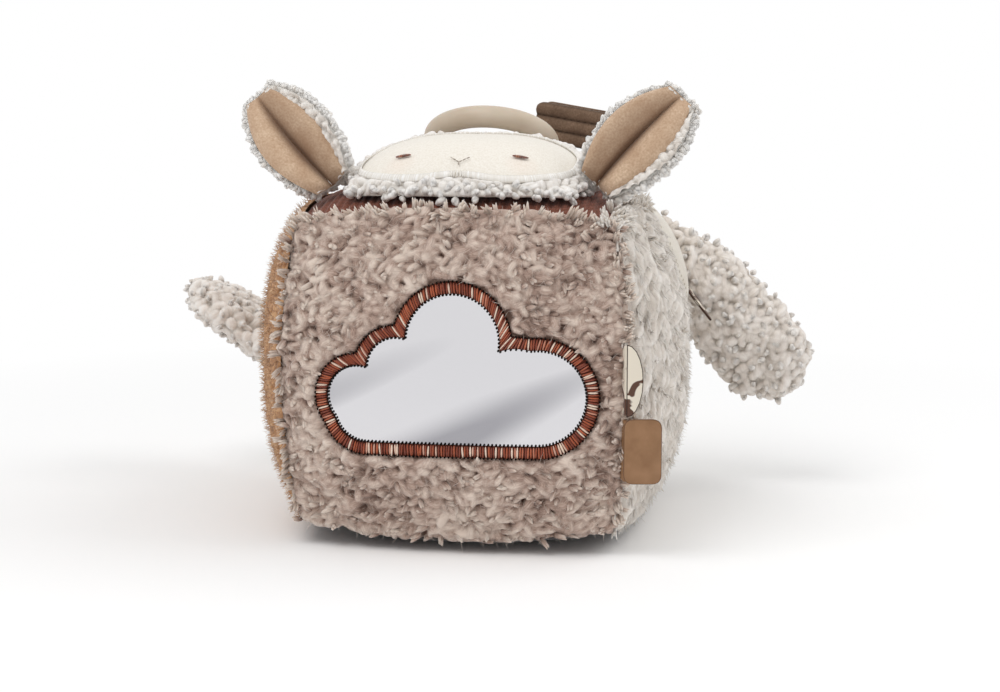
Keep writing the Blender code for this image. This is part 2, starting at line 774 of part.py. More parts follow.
def make_ring_loop(material):
    """A ribbon that rises from the seam, goes round the ring's tube and comes back."""
    inner = RING_TUBE_RADIUS + LOOP_SLACK
    outer = inner + LOOP_THICKNESS
    foot = -outer - LOOP_STEM
    outline = arc(outer, -LOOP_LEAN, math.pi + LOOP_LEAN, LOOP_BENDS)
    outline += [(-LOOP_THICKNESS, foot), (LOOP_THICKNESS, foot)]
    loop = prism("ring_loop", outline, X, -LOOP_WIDTH / 2, LOOP_WIDTH / 2)
    loop.data.materials.append(material)
    loop.location = ring_pivot()
    reach = LOOP_WIDTH / 2 + CUT_OVERRUN
    hole = prism("ring_loop_cutter", arc(inner, 0.0, math.tau, LOOP_BENDS)[:-1], X, -reach, reach)
    hole.location = ring_pivot()
    boolean(loop, hole, "DIFFERENCE")


# The strap and the tabs


def rounded(corners, rounding):
    """An outline with its convex corners rounded: corners are (u, v), anticlockwise."""
    points = []
    for before, corner, after in zip(corners[-1:] + corners, corners, corners[1:] + corners[:1]):
        here = Vector(corner)
        back, on = (Vector(before) - here).normalized(), (Vector(after) - here).normalized()
        start, end = here + back * rounding, here + on * rounding
        for step in range(ROUNDING_STEPS + 1):
            share = step / ROUNDING_STEPS
            first = start.lerp(here, share)
            points.append(tuple(first.lerp(here.lerp(end, share), share)))
    return points


def strap_pivot():
    """The middle of the strap's rolled foot, which rests on the top panel along its back seam."""
    back = (HALF[Y] + PILE[BACK]) * (1 - CORNER_PULL_SHARE / 2)
    height = 0.0
    reach = STRAP_FOOT_WIDTH / 2 - STRAP_ROUNDING
    for share in (-1, 0, 1):
        x = STRAP_FOOT_X + share * reach
        y = back - share * math.tan(STRAP_TURN) * reach
        height = max(height, top_surface(x, y))
    return Vector((STRAP_FOOT_X, back, height + LAYER_GAP + STRAP_PLY + STRAP_GAP / 2))


def make_strap(material):
    """A band on edge, doubled back on itself, that stands on a narrower rolled foot."""
    half_depth = STRAP_PLY + STRAP_GAP / 2
    right = STRAP_FOOT_WIDTH / 2
    left = right - STRAP_LENGTH
    slope = math.tan(STRAP_SLOPE)
    low = STRAP_RISE
    outline = rounded(
        [
            (-right, -half_depth),
            (right, -half_depth),
            (right, low + STRAP_WIDTH),
            (left, low + STRAP_WIDTH + slope * STRAP_LENGTH),
            (left, low + slope * STRAP_LENGTH),
            (-right, low + slope * STRAP_FOOT_WIDTH),
        ],
        STRAP_ROUNDING,
    )
    strap = prism("hanging_strap", outline, Y, -half_depth, half_depth)
    strap.data.materials.append(material)
    high = low + STRAP_WIDTH + slope * STRAP_LENGTH + CUT_OVERRUN
    side = arc(half_depth, -math.pi, 0.0, LOOP_BENDS) + [(half_depth, high), (-half_depth, high)]
    rolled = prism("strap_foot_cutter", side, X, left - CUT_OVERRUN, right + CUT_OVERRUN)
    ply_left, ply_right = left + STRAP_PLY, right - STRAP_PLY
    gap = [(ply_left, low), (ply_right, low), (ply_right, high), (ply_left, high)]
    between = prism("strap_gap_cutter", gap, Y, -STRAP_GAP / 2, STRAP_GAP / 2)
    for thing in (strap, rolled, between):
        thing.matrix_world = Matrix.Translation(strap_pivot()) @ Matrix.Rotation(-STRAP_TURN, 4, "Z")
    boolean(strap, rolled, "INTERSECT")
    boolean(strap, between, "DIFFERENCE")


def make_tab(name, outline, root, turn, droop, roll, material):
    """A flat tab whose outline starts at its root, turned about the seam, drooped and rolled."""
    thing = prism(name, outline, Y, -TAB_THICKNESS / 2, TAB_THICKNESS / 2)
    thing.data.materials.append(material)
    thing.matrix_world = (
        Matrix.Translation(root)
        @ Matrix.Rotation(turn, 4, "Z")
        @ Matrix.Rotation(droop, 4, "Y")
        @ Matrix.Rotation(roll, 4, "X")
    )


def front_seam(height, half, inset):
    """The root of a tab that is sewn flat on the front, an inset from its right edge. It clears
    the swelling front where that stands out most along the tab."""
    x = HALF[X] + PILE[RIGHT] - inset
    across = x / (HALF[X] + PILE[RIGHT])
    nearest = max(0.0, abs(height - BLOCK_CENTRE_Z) - half) / HALF[Z]
    face = panel_point((across, -1.0, nearest), 1.0).y
    return Vector((x, face - TAB_THICKNESS / 2, height))


def make_front_tab(material):
    """A D: straight at the seam and round outwards."""
    half = FRONT_TAB_HEIGHT / 2
    stretch = FRONT_TAB_REACH / half
    outline = [(u * stretch, v) for u, v in arc(half, -math.pi / 2, math.pi / 2, TAB_ARC_POINTS)]
    root = front_seam(FRONT_TAB_MIDDLE, half, FRONT_TAB_INSET)
    make_tab("front_side_tab", outline, root, FRONT_TAB_ANGLE, 0.0, 0.0, material)


def make_label(material):
    half = LABEL_HEIGHT / 2
    corners = [(0, -half), (LABEL_REACH, -half), (LABEL_REACH, half), (0, half)]
    root = front_seam(LABEL_MIDDLE, half, LABEL_INSET)
    make_tab("label_tab", rounded(corners, LABEL_ROUNDING), root, LABEL_ANGLE, 0.0, 0.0, material)


def make_back_tab(material):
    """A leaf, narrow at the seam and at its tip, seen nearly from its edge."""
    edge = [(along * BACK_TAB_REACH, half * BACK_TAB_WIDTH) for along, half in LEAF_SHARES]
    outline = [(u, -v) for u, v in edge] + edge[::-1]
    root = seam_corner(RIGHT, BACK, BACK_TAB_MIDDLE, edge[0][1], edge[0][1] + LAYER_GAP)
    root.y -= BACK_TAB_FORWARD
    make_tab("back_side_tab", outline, root, BACK_TAB_ANGLE, BACK_TAB_DROOP, BACK_TAB_ROLL, material)


clear_scene()
fibre = finish("polyester fibre", "#EFEDE8", 0.95)
make_filling(fibre)
make_rattle(finish("rattle shell plastic", "#E4E0D8", 0.4), finish("bead plastic", "#B9AFA2", 0.35))
make_front(
    finish("taupe sherpa", "#A8978C", 0.95),
    finish("mirror backing felt", "#8C8178", 0.95),
    finish("mirror foil", "#E6E6E8", 0.06, 1.0),
    finish("rust satin thread", "#8E3B20", 0.45),
)
cream_velour = finish("ivory velour", "#EDE9E0", 0.9)
side_layer("left_panel", LEFT, 0, 1, finish("camel plush", "#B8906A", 0.95))
side_layer("right_panel", RIGHT, 0, 1, finish("off-white long plush", "#D9D5CF", 0.95))
side_layer("back_panel", BACK, 0, 1, cream_velour)
side_layer("top_panel", TOP, 0, 1, finish("rust rib knit", "#7B4532", 0.9))
side_layer("bottom_panel", BASE, 0, 1, finish("dark brown velour", "#4A2C22", 0.9))
brown_thread = finish("brown embroidery thread", "#8A4A2E", 0.5)
make_head(
    fibre,
    finish("white fleece", "#E9E6E1", 0.95),
    cream_velour,
    finish("white satin thread", "#F4F2ED", 0.4),
    brown_thread,
)
sherpa = finish("white curly sherpa", "#DAD6D1", 0.95)
crinkle = finish("crinkle foil", "#C9CBCE", 0.25, 0.6)
tan_velour = finish("tan velour", "#C9A98A", 0.9)
for ear_side in (-1, 1):
    make_ear(ear_side, sherpa, crinkle, tan_velour)
right_across = Vector((math.sin(RIGHT_ARM_ANGLE), 0, -math.cos(RIGHT_ARM_ANGLE)))
make_arm("right", RIGHT, RIGHT_ARM_HEIGHT, RIGHT_ARM_ANGLE, right_across, sherpa, fibre)
make_arm("left", LEFT, LEFT_ARM_HEIGHT, LEFT_ARM_ANGLE, Vector((0, 1, 0)), sherpa, fibre)
make_ring(finish("cream ring silicone", "#D8D0C2", 0.45))
make_ring_loop(finish("cream ribbon", "#DDD5C8", 0.7))
make_strap(finish("taupe velour", "#85756B", 0.92))
printed_satin = finish("printed satin", "#CFC2AE", 0.6)
make_front_tab(printed_satin)
make_label(finish("tan leatherette", "#A67C58", 0.55))
make_back_tab(printed_satin)
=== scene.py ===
import math

import bmesh
import bpy
import numpy as np
from mathutils import Matrix, Vector, kdtree


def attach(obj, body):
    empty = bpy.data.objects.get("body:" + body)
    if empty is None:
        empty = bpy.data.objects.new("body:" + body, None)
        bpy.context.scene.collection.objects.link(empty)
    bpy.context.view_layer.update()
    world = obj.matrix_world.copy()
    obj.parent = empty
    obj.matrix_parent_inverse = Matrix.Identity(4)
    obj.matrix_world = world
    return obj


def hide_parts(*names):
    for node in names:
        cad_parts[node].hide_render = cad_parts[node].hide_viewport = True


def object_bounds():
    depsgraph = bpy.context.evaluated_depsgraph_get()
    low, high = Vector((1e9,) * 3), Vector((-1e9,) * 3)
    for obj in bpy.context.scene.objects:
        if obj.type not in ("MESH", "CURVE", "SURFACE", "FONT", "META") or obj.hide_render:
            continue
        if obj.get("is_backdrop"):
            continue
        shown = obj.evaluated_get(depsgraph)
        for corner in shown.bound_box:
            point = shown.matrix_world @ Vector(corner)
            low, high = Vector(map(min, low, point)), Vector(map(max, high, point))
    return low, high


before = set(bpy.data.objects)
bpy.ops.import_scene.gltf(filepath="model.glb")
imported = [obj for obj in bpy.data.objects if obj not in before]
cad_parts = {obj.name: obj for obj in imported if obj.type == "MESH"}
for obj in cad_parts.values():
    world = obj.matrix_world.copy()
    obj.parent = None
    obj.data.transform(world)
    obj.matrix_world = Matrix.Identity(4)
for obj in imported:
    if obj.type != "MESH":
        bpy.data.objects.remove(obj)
cad_box = [list(corner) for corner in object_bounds()]


# The room: a white table that runs into a white backdrop, one large soft lamp over the front left
# and one over the right. None of it belongs to the block.
def linear(code):
    """An sRGB hex colour as linear red, green and blue, with a full alpha."""
    channels = [int(code[i : i + 2], 16) / 255 for i in (1, 3, 5)]
    return (*[c / 12.92 if c <= 0.04045 else ((c + 0.055) / 1.055) ** 2.4 for c in channels], 1.0)


def add_node(tree, kind, inputs=None, **settings):
    """Adds a node with its settings. Each input is a value, or a (node, output) that is linked to it."""
    node = tree.nodes.new("ShaderNode" + kind)
    for name, value in settings.items():
        setattr(node, name, value)
    for name, value in (inputs or {}).items():
        if isinstance(value, tuple) and isinstance(value[0], bpy.types.Node):
            tree.links.new(value[0].outputs[value[1]], node.inputs[name])
        else:
            node.inputs[name].default_value = value
    return node


def new_finish(name, **sockets):
    """A material whose shader has these constant sockets, with underscores for spaces."""
    material = bpy.data.materials.new(name)
    material.use_nodes = True
    tree = material.node_tree
    shader = tree.nodes["Principled BSDF"]
    for socket, value in sockets.items():
        shader.inputs[socket.replace("_", " ")].default_value = value
    return material, tree, shader


def seen_plainly(tree):
    """1 where the camera or a gloss looks straight at it, and 0 where it lights something."""
    rays = add_node(tree, "LightPath")
    looks = {0: (rays, "Is Camera Ray"), 1: (rays, "Is Glossy Ray")}
    return add_node(tree, "Math", looks, operation="MAXIMUM")


def add_mesh(mesh, *materials):
    """A new object at the origin from a mesh whose points are already in place."""
    for material in materials:
        mesh.materials.append(material)
    thing = bpy.data.objects.new(mesh.name, mesh)
    bpy.context.scene.collection.objects.link(thing)
    return thing


def add_piece(name, bm, *materials, smooth=True):
    """The same from a bmesh, which it frees."""
    mesh = bpy.data.meshes.new(name)
    bm.to_mesh(mesh)
    bm.free()
    if smooth:
        mesh.shade_smooth()
    return add_mesh(mesh, *materials)


paper, tree, shader = new_finish("white paper sweep", Roughness=1.0, Base_Color=linear("#FFFFFF"))
shader.inputs["Specular IOR Level"].default_value = 0.0
place = add_node(tree, "TexCoord")
away = add_node(tree, "VectorMath", {0: (place, "Object")}, operation="LENGTH")
fade = add_node(tree, "MapRange", {0: (away, "Value"), 1: 0.24, 2: 0.52})
plain = seen_plainly(tree)
seen = add_node(tree, "Math", {0: (fade, 0), 1: (plain, 0)}, operation="MULTIPLY")
glow = add_node(tree, "Emission", {"Color": linear("#FFFFFF"), "Strength": 1.0})
mixed = add_node(tree, "MixShader", {0: (seen, 0), 1: (shader, 0), 2: (glow, 0)})
tree.links.new(mixed.outputs[0], tree.nodes["Material Output"].inputs["Surface"])
bm = bmesh.new()
bmesh.ops.create_circle(bm, cap_ends=True, segments=64, radius=6.0)
floor = add_piece("floor", bm, paper, smooth=False)
floor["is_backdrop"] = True

world = bpy.data.worlds.new("white studio")
bpy.context.scene.world = world
world.use_nodes = True
tree = world.node_tree
plain = seen_plainly(tree)
level = add_node(tree, "MapRange", {0: (plain, 0), 3: 0.62, 4: 1.0})
tree.links.new(level.outputs[0], tree.nodes["Background"].inputs["Strength"])
tree.nodes["Background"].inputs["Color"].default_value = (1, 1, 1, 1)

for name, spot, power, size in (
    ("lamp_left", (-0.46, -0.60, 1.32), 7.7, 0.9), ("lamp_right", (0.85, 0.15, 0.95), 3.6, 0.8)
):
    lamp = bpy.data.objects.new(name, bpy.data.lights.new(name, "AREA"))
    lamp.data.energy, lamp.data.size = power, size
    lamp.location = spot
    lamp.rotation_euler = (Vector((0, 0, 0.08)) - lamp.location).to_track_quat("-Z", "Y").to_euler()
    bpy.context.scene.collection.objects.link(lamp)

camera = bpy.data.objects.new("camera", bpy.data.cameras.new("camera"))
camera.data.sensor_width, camera.data.lens = 36.0, 71.46
camera.location = (0.1388, -0.8681, 0.2152)
aim = Vector((0.0089, 0.0013, 0.0760)) - camera.location
camera.rotation_euler = aim.to_track_quat("-Z", "Y").to_euler()
bpy.context.scene.collection.objects.link(camera)
bpy.context.scene.camera = camera
bpy.context.scene.view_settings.view_transform = "Standard"


# The block under its fur: six sewn cloths over a firm fibre filling, which swells each side.
# The same rounded cube carries every panel, so neighbours meet in one seam.
X, Y, Z = range(3)
LEFT, RIGHT, FRONT, BACK, BASE, TOP = (X, -1), (X, 1), (Y, -1), (Y, 1), (Z, -1), (Z, 1)
HALF = (0.070, 0.070, 0.067)
MIDDLE = np.array((0.0, 0.0, 0.074))
SWELL = {LEFT: 0.018, RIGHT: 0.018, FRONT: 0.009, BACK: 0.012, BASE: 0.010, TOP: 0.010}
PILE = {LEFT: 0.0055, RIGHT: 0.008, FRONT: 0.007, BACK: 0.0025, BASE: 0.002, TOP: 0.002}
PULL = 0.08


def block_points(unit, share):
    """Places on the block of points of the unit cube, at a share of the panels' thickness."""
    place = np.tile(MIDDLE, (len(unit), 1))
    for axis in range(3):
        first, second = (unit[:, other] for other in range(3) if other != axis)
        plus = unit[:, axis] > 0
        pile = np.where(plus, PILE[axis, 1], PILE[axis, -1])
        place[:, axis] += unit[:, axis] * (HALF[axis] + pile * share) * (1 - PULL * first**2 * second**2)
        full = (1 - abs(first) ** 3) * (1 - abs(second) ** 3)
        swell = np.where(plus, SWELL[axis, 1], -SWELL[axis, -1])
        place[:, axis] += np.where(abs(unit[:, axis]) > 0.999999, swell * full, 0)
    place[:, Z] = np.maximum(place[:, Z], PILE[BASE] * (1 - np.clip(share, 0, 1)))
    return place


def side_at(side, first, second, share):
    """Points of one side's cloth. First and second run over the side from -1 to 1."""
    unit = np.empty((len(first), 3))
    others = [axis for axis in range(3) if axis != side[0]]
    unit[:, side[0]], unit[:, others[0]], unit[:, others[1]] = side[1], first, second
    return block_points(unit, share)


def side_over(side, first, second, share):
    """Points of one side's cloth over places of its plan, found in a few steps."""
    axes = [axis for axis in range(3) if axis != side[0]]
    offs = [place - MIDDLE[axis] for place, axis in zip((first, second), axes)]
    halves = [
        HALF[axis] + np.where(off > 0, PILE[axis, 1], PILE[axis, -1]) * share
        for off, axis in zip(offs, axes)
    ]
    s, t = np.zeros(len(first)), np.zeros(len(first))
    for _ in range(5):
        s = offs[0] / (halves[0] * (1 - PULL * t**2))
        t = offs[1] / (halves[1] * (1 - PULL * s**2))
    return side_at(side, np.clip(s, -1, 1), np.clip(t, -1, 1), share)


# The cloud mirror: a flexible foil on felt, held to the front by a border of dense satin stitch.
# Its outline is six arcs on a straight foot.
CLOUD_WIDTH, CLOUD_X, CLOUD_FOOT = 0.108, 0.002, 0.0472
LOBES = [
    (CLOUD_X + x * CLOUD_WIDTH, CLOUD_FOOT + z * CLOUD_WIDTH, r * CLOUD_WIDTH)
    for x, z, r in (
        (0.320, 0.187, 0.187),
        (0.237, 0.196, 0.183),
        (-0.006, 0.400, 0.183),
        (-0.221, 0.294, 0.120),
        (-0.374, 0.177, 0.125),
        (-0.345, 0.127, 0.127),
    )
]
BORDER = 0.005


def noise(tree, place, size, detail, **inputs):
    """Smooth random values in the object's own space, in cells of this size in metres."""
    sockets = {"Vector": (place, "Object"), "Scale": 1 / size, "Detail": detail, **inputs}
    return add_node(tree, "TexNoise", sockets)


def colour_by(tree, shader, source, *stops):
    """Colours the finish by a ramp over source. A stop is a place and its colour: the ramp's two
    ends come first, and then what lies between."""
    ramp = add_node(tree, "ValToRGB", {0: source})
    for end, (spot, code) in enumerate(stops[:2]):
        element = ramp.color_ramp.elements[end]
        element.position, element.color = spot, linear(code)
    for spot, code in stops[2:]:
        ramp.color_ramp.elements.new(spot).color = linear(code)
    tree.links.new(ramp.outputs[0], shader.inputs["Base Color"])
    return ramp


def bump_by(tree, shader, source, strength, distance, **settings):
    """Gives the finish a relief that follows source, up to this distance."""
    sockets = {"Height": source, "Strength": strength, "Distance": distance}
    bump = add_node(tree, "Bump", sockets, **settings)
    tree.links.new(bump.outputs[0], shader.inputs["Normal"])


def velour_finish(name, deep, light, nap=0.0009, sheen=0.35, bump_height=0.00012):
    """Short cut pile: it looks even, with a fine speckle and a pale bloom at its edges."""
    material, tree, shader = new_finish(
        name, Roughness=0.92, Sheen_Weight=sheen, Sheen_Roughness=0.35, Specular_IOR_Level=0.2
    )
    place = add_node(tree, "TexCoord")
    speck = noise(tree, place, nap, 3.0)
    brushed = noise(tree, place, 0.012, 2.0)
    both = add_node(tree, "Math", {0: (speck, 0), 1: (brushed, 0)}, operation="MULTIPLY_ADD")
    both.inputs[2].default_value = 0.22
    colour_by(tree, shader, (both, 0), (0.25, deep), (0.68, light))
    bump_by(tree, shader, (speck, 0), 0.5, bump_height)
    return material


def add_ring(bm, spots):
    """Adds a closed ring of edges through spots."""
    ring = [bm.verts.new(spot) for spot in spots]
    return [bm.edges.new(pair) for pair in zip(ring, ring[1:] + ring[:1])]


def face_out(bm, way):
    """Turns the faces of an open cloth so that they face this way."""
    bmesh.ops.recalc_face_normals(bm, faces=bm.faces[:])
    if sum(face.normal.dot(Vector(way)) * face.calc_area() for face in bm.faces) < 0:
        bmesh.ops.reverse_faces(bm, faces=bm.faces[:])


def dress(piece, body, *nodes, slot=None):
    """A piece rides on a body and may stand for CAD nodes, which it hides. Its slot is not used."""
    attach(piece, body)
    if nodes:
        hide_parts(*nodes)


def cloud_arcs(grow):
    """The cloud's runs, moved outwards by grow: lobe centre, radius, first angle and swing."""
    grown = [(x, z, r + grow) for x, z, r in LOBES]
    joins = [(grown[0][0], grown[0][1] - grown[0][2])]
    for (x1, z1, r1), (x2, z2, r2) in zip(grown, grown[1:]):
        span = math.hypot(x2 - x1, z2 - z1)
        along = (span**2 + r1**2 - r2**2) / (2 * span)
        off = math.sqrt(max(r1**2 - along**2, 0.0))
        ux, uz = (x2 - x1) / span, (z2 - z1) / span
        joins.append((x1 + along * ux + off * uz, z1 + along * uz - off * ux))
    joins.append((grown[-1][0], grown[-1][1] - grown[-1][2]))
    arcs = []
    for (x, z, r), start, end in zip(grown, joins, joins[1:]):
        first = math.atan2(start[1] - z, start[0] - x)
        arcs.append((x, z, r, first, (math.atan2(end[1] - z, end[0] - x) - first) % math.tau))
    return arcs, joins[-1], joins[0]


def cloud_path(grow, counts):
    """Points round the cloud, with counts for each arc and then for the straight foot."""
    arcs, foot_start, foot_end = cloud_arcs(grow)
    points = []
    for (x, z, r, first, swing), count in zip(arcs, counts):
        angles = first + swing * (np.arange(count) + 0.5) / count
        points.append(np.column_stack((x + r * np.cos(angles), z + r * np.sin(angles))))
    share = ((np.arange(counts[-1]) + 0.5) / counts[-1])[:, None]
    points.append(np.array(foot_start) * (1 - share) + np.array(foot_end) * share)
    return np.concatenate(points)


def cloud_counts(pitch):
    arcs, start, end = cloud_arcs(BORDER / 2)
    lengths = [r * swing for _, _, r, _, swing in arcs] + [end[0] - start[0]]
    return [max(2, round(length / pitch)) for length in lengths]


def cloud_reach(x, z, grow=0.0):
    """How far a place is outside the cloud's edge, less than zero inside it."""
    distance = np.full(len(x), 1.0)
    for cx, cz, r in LOBES:
        distance = np.minimum(distance, np.hypot(x - cx, z - cz) - r)
    foot = np.where(
        (x > LOBES[-1][0]) & (x < LOBES[0][0]) & (z > CLOUD_FOOT) & (z < LOBES[1][1]), -1.0, 1.0
    )
    below = np.where((x > LOBES[-1][0]) & (x < LOBES[0][0]), abs(CLOUD_FOOT - z), 1.0)
    outside = np.minimum(np.maximum(distance, 0), np.where(z < CLOUD_FOOT, below, 1.0))
    inside = (distance < 0) | (foot < 0)
    return np.where(inside, -0.001, outside) - grow


# Aluminised polyester film: a mirror with a slight haze, because it is soft and a little creased
foil, tree, shader = new_finish("aluminised mirror film", Metallic=1.0, Roughness=0.16)
place = add_node(tree, "TexCoord")
waves = noise(tree, place, 0.045, 1.5)
bump_by(tree, shader, (waves, 0), 0.5, 0.0008)
# Painted reflection: soft grey swathes that rise to the right, painted into the film's colour
turned = add_node(
    tree, "Mapping",
    {"Vector": (place, "Object"), "Rotation": (0, math.radians(-24), 0), "Scale": (0.16, 1.0, 0.030)},
    vector_type="TEXTURE",
)
painted_reflection_swathe = add_node(tree, "TexNoise", {"Vector": (turned, 0), "Scale": 1.0, "Detail": 0.5})
colour_by(tree, shader, (painted_reflection_swathe, 0), (0.34, "#A3A2A7"), (0.52, "#D9D8DB"))
felt = velour_finish("dark grey felt", "#5E564F", "#8C8178", sheen=0.1)

counts = cloud_counts(0.0013)
rim = cloud_path(0.0008, counts)
centre = np.array((CLOUD_X, CLOUD_FOOT + 0.024))
bm = bmesh.new()
edges = add_ring(bm, [(x, 0, z) for x, z in rim])
for shrink in (0.97, 0.93, 0.86, 0.76, 0.62, 0.46, 0.28, 0.12):
    step = bmesh.ops.extrude_edge_only(bm, edges=edges)
    edges = [item for item in step["geom"] if isinstance(item, bmesh.types.BMEdge)]
    inner = [item for item in step["geom"] if isinstance(item, bmesh.types.BMVert)]
    for vert, (x, z) in zip(inner, rim):
        vert.co = (centre[0] + (x - centre[0]) * shrink, 0, centre[1] + (z - centre[1]) * shrink)
bmesh.ops.holes_fill(bm, edges=edges)
flat = np.array([vert.co[:] for vert in bm.verts])
depth = side_over(FRONT, flat[:, 0], flat[:, 2], 0.26)
for vert, spot in zip(bm.verts, depth):
    vert.co.y = spot[1]
face_out(bm, (0, -1, 0))
mirror = add_piece("mirror_film", bm, foil)
dress(mirror, "block", "mirror_foil")
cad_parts["mirror_backing"].data.materials.clear()
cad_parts["mirror_backing"].data.materials.append(felt)


# The border: rust satin thread laid side by side over the cut edge, two threads to each needle
# hole, over an underlay painted dark as painted shade between the threads. A few threads are painted near
# white, as painted glints.
def plain_finish(name, code, **sockets):
    """A material of one even colour."""
    return new_finish(name, Base_Color=linear(code), **sockets)[0]


def store(mesh, name, values):
    """Keeps a number or a vector for each point of a mesh, which a finish reads by its name."""
    kind, field = ("FLOAT", "value") if values.ndim == 1 else ("FLOAT_VECTOR", "vector")
    kept = mesh.attributes.new(name, kind, "POINT")
    kept.data.foreach_set(field, values.astype(np.float32).ravel())


def unit(vectors):
    return vectors / np.maximum(np.linalg.norm(vectors, axis=1), 1e-12)[:, None]


def make_lock(strands, around, rings, thick, taper, fan, curl):
    """Three kinds of one lock of pile, each 1 long up Z from the origin: strands that part from one
    root. Gives their points, faces, places on the strand (across, across, along) and tones."""
    bm = bmesh.new()
    bmesh.ops.create_uvsphere(bm, u_segments=around, v_segments=rings, radius=0.5)
    bmesh.ops.triangulate(bm, faces=bm.faces[:])
    bmesh.ops.recalc_face_normals(bm, faces=bm.faces[:])
    ball = np.array([vert.co[:] for vert in bm.verts])
    bm.verts.index_update()
    sides = np.array([[vert.index for vert in face.verts] for face in bm.faces])
    bm.free()
    rise = ball[:, 2] + 0.5
    body = ball[:, :2] * (thick * (1 - taper * rise))[:, None]
    chance = np.random.default_rng(strands)
    kinds, tones = [], []
    for _ in range(3):
        points = []
        for n in range(strands):
            angle = math.tau * (n + chance.uniform(-0.3, 0.3)) / strands
            out = fan * chance.uniform(0.5, 1.1) * (0.3 + 0.7 * rise**1.4)
            bend = curl * chance.uniform(0.7, 1.3) * (rise**2 - rise * 0.3)
            points.append(
                np.column_stack((
                    body[:, 0] + out * math.cos(angle) + bend,
                    body[:, 1] + out * math.sin(angle),
                    rise * (1 if n == 0 else chance.uniform(0.7, 1.0)),
                ))
            )
        kinds.append(np.concatenate(points))
        tones.append(np.repeat(chance.uniform(-0.16, 0.16, strands), len(ball)))
    faces = np.concatenate([sides + n * len(ball) for n in range(strands)])
    strand = np.tile(np.column_stack((ball[:, :2] * 2, rise)), (strands, 1))
    return np.array(kinds), faces, strand, np.array(tones)


def repeat(name, lock, roots, ways, shades, material):
    """Copies of a lock as one piece. Ways are its three directions, as long as it is each way."""
    points, faces, strand, tones = lock
    count = len(roots)
    kind = np.arange(count) % len(points)
    every = roots[:, None, :] + np.einsum("npk,nkx->npx", points[kind], np.stack(ways, 1))
    every[:, :, Z] = np.maximum(every[:, :, Z], 0.0001)
    faces = faces[None] + (np.arange(count) * len(strand))[:, None, None]
    mesh = bpy.data.meshes.new(name)
    mesh.from_pydata(every.reshape(-1, 3), [], faces.reshape(-1, 3))
    mesh.shade_smooth()
    store(mesh, "shade", (shades[:, None] + tones[kind]).ravel())
    store(mesh, "strand", np.tile(strand, (count, 1)))
    return add_mesh(mesh, material)


def satin_finish(name, deep, mid, light, rough=0.34):
    """Viscose embroidery thread, twisted and glossy along its length."""
    material, tree, shader = new_finish(name, Roughness=rough, Specular_IOR_Level=0.6, Sheen_Weight=0.1)
    shade = add_node(tree, "Attribute", attribute_name="shade")
    colour_by(tree, shader, (shade, "Fac"), (0.1, deep), (0.93, light), (0.66, mid))
    strand = add_node(tree, "Attribute", attribute_name="strand")
    # The ply's twist: three turns along a stitch
    twist = add_node(
        tree,
        "TexWave",
        {"Vector": (strand, "Vector"), "Scale": 1.9, "Distortion": 0.4},
        wave_type="BANDS",
        bands_direction="DIAGONAL",
    )
    bump_by(tree, shader, (twist, 1), 0.4, 0.00012)
    return material


def make_stitches(name, starts, ends, outward, width, height, material, seed):
    """Threads from starts to ends, wide on the cloth and standing a height off it."""
    chance = np.random.default_rng(seed)
    span = ends - starts
    up = unit(np.broadcast_to(np.array(outward, float), span.shape))
    side = unit(np.cross(up, span)) * width * chance.uniform(0.9, 1.1, len(starts))[:, None]
    ways = (side, up * height, span)
    shades = chance.uniform(0, 1, len(starts)) ** 1.3
    return repeat(name, thread, starts, ways, shades, material)


thread = make_lock(1, 6, 5, 1.0, 0.0, 0.0, 0.0)
# Painted highlights: the ramp's pale end, near white, marks the threads painted as glints
rust = satin_finish("rust satin thread", "#84371D", "#BE6038", "#F8E2CE")
counts = cloud_counts(0.00108)
chance = np.random.default_rng(11)
inner, outer = cloud_path(0.0, counts), cloud_path(BORDER - 0.0003, counts)
inner = inner + chance.normal(0, 0.00012, inner.shape)
outer = outer + chance.normal(0, 0.00018, outer.shape)
starts, ends = side_over(FRONT, *inner.T, 0.40), side_over(FRONT, *outer.T, 0.46)
border = make_stitches("mirror_border_stitches", starts, ends, (0, -1, 0), 0.00086, 0.0018, rust, 12)
dress(border, "block", slot="rust_thread")

# Painted shade: the underlay is darker than the thread, for the shade in the gaps between threads
underlay = plain_finish("rust underlay thread", "#5A2412", Roughness=0.7, Specular_IOR_Level=0.3)
counts = cloud_counts(0.0015)
bm = bmesh.new()
loops = []
for grow, share in ((-0.0002, 0.30), (BORDER / 2, 0.42), (BORDER, 0.36)):
    loops.append(add_ring(bm, side_over(FRONT, *cloud_path(grow, counts).T, share)))
for low, high in zip(loops, loops[1:]):
    bmesh.ops.bridge_loops(bm, edges=low + high)
face_out(bm, (0, -1, 0))
band = add_piece("mirror_border_underlay", bm, underlay)
dress(band, "block", "mirror_stitch_border")

# The needle holes at both sides of the border, one for every two threads: dark dots of painted shade
hole = plain_finish("needle hole", "#17110E", Roughness=0.9, Specular_IOR_Level=0.1)
counts = cloud_counts(0.00162)
rows = ((-0.0004, 0.33), (BORDER - 0.0001, 0.42))
holes = np.concatenate([side_over(FRONT, *cloud_path(grow, counts).T, share) for grow, share in rows])
ways = [np.tile(way, (len(holes), 1)) for way in ((0.0010, 0, 0), (0, 0, 0.0012), (0, -0.0005, 0))]
pricks = repeat("mirror_needle_holes", thread, holes, ways, np.zeros(len(holes)), hole)
dress(pricks, "block")


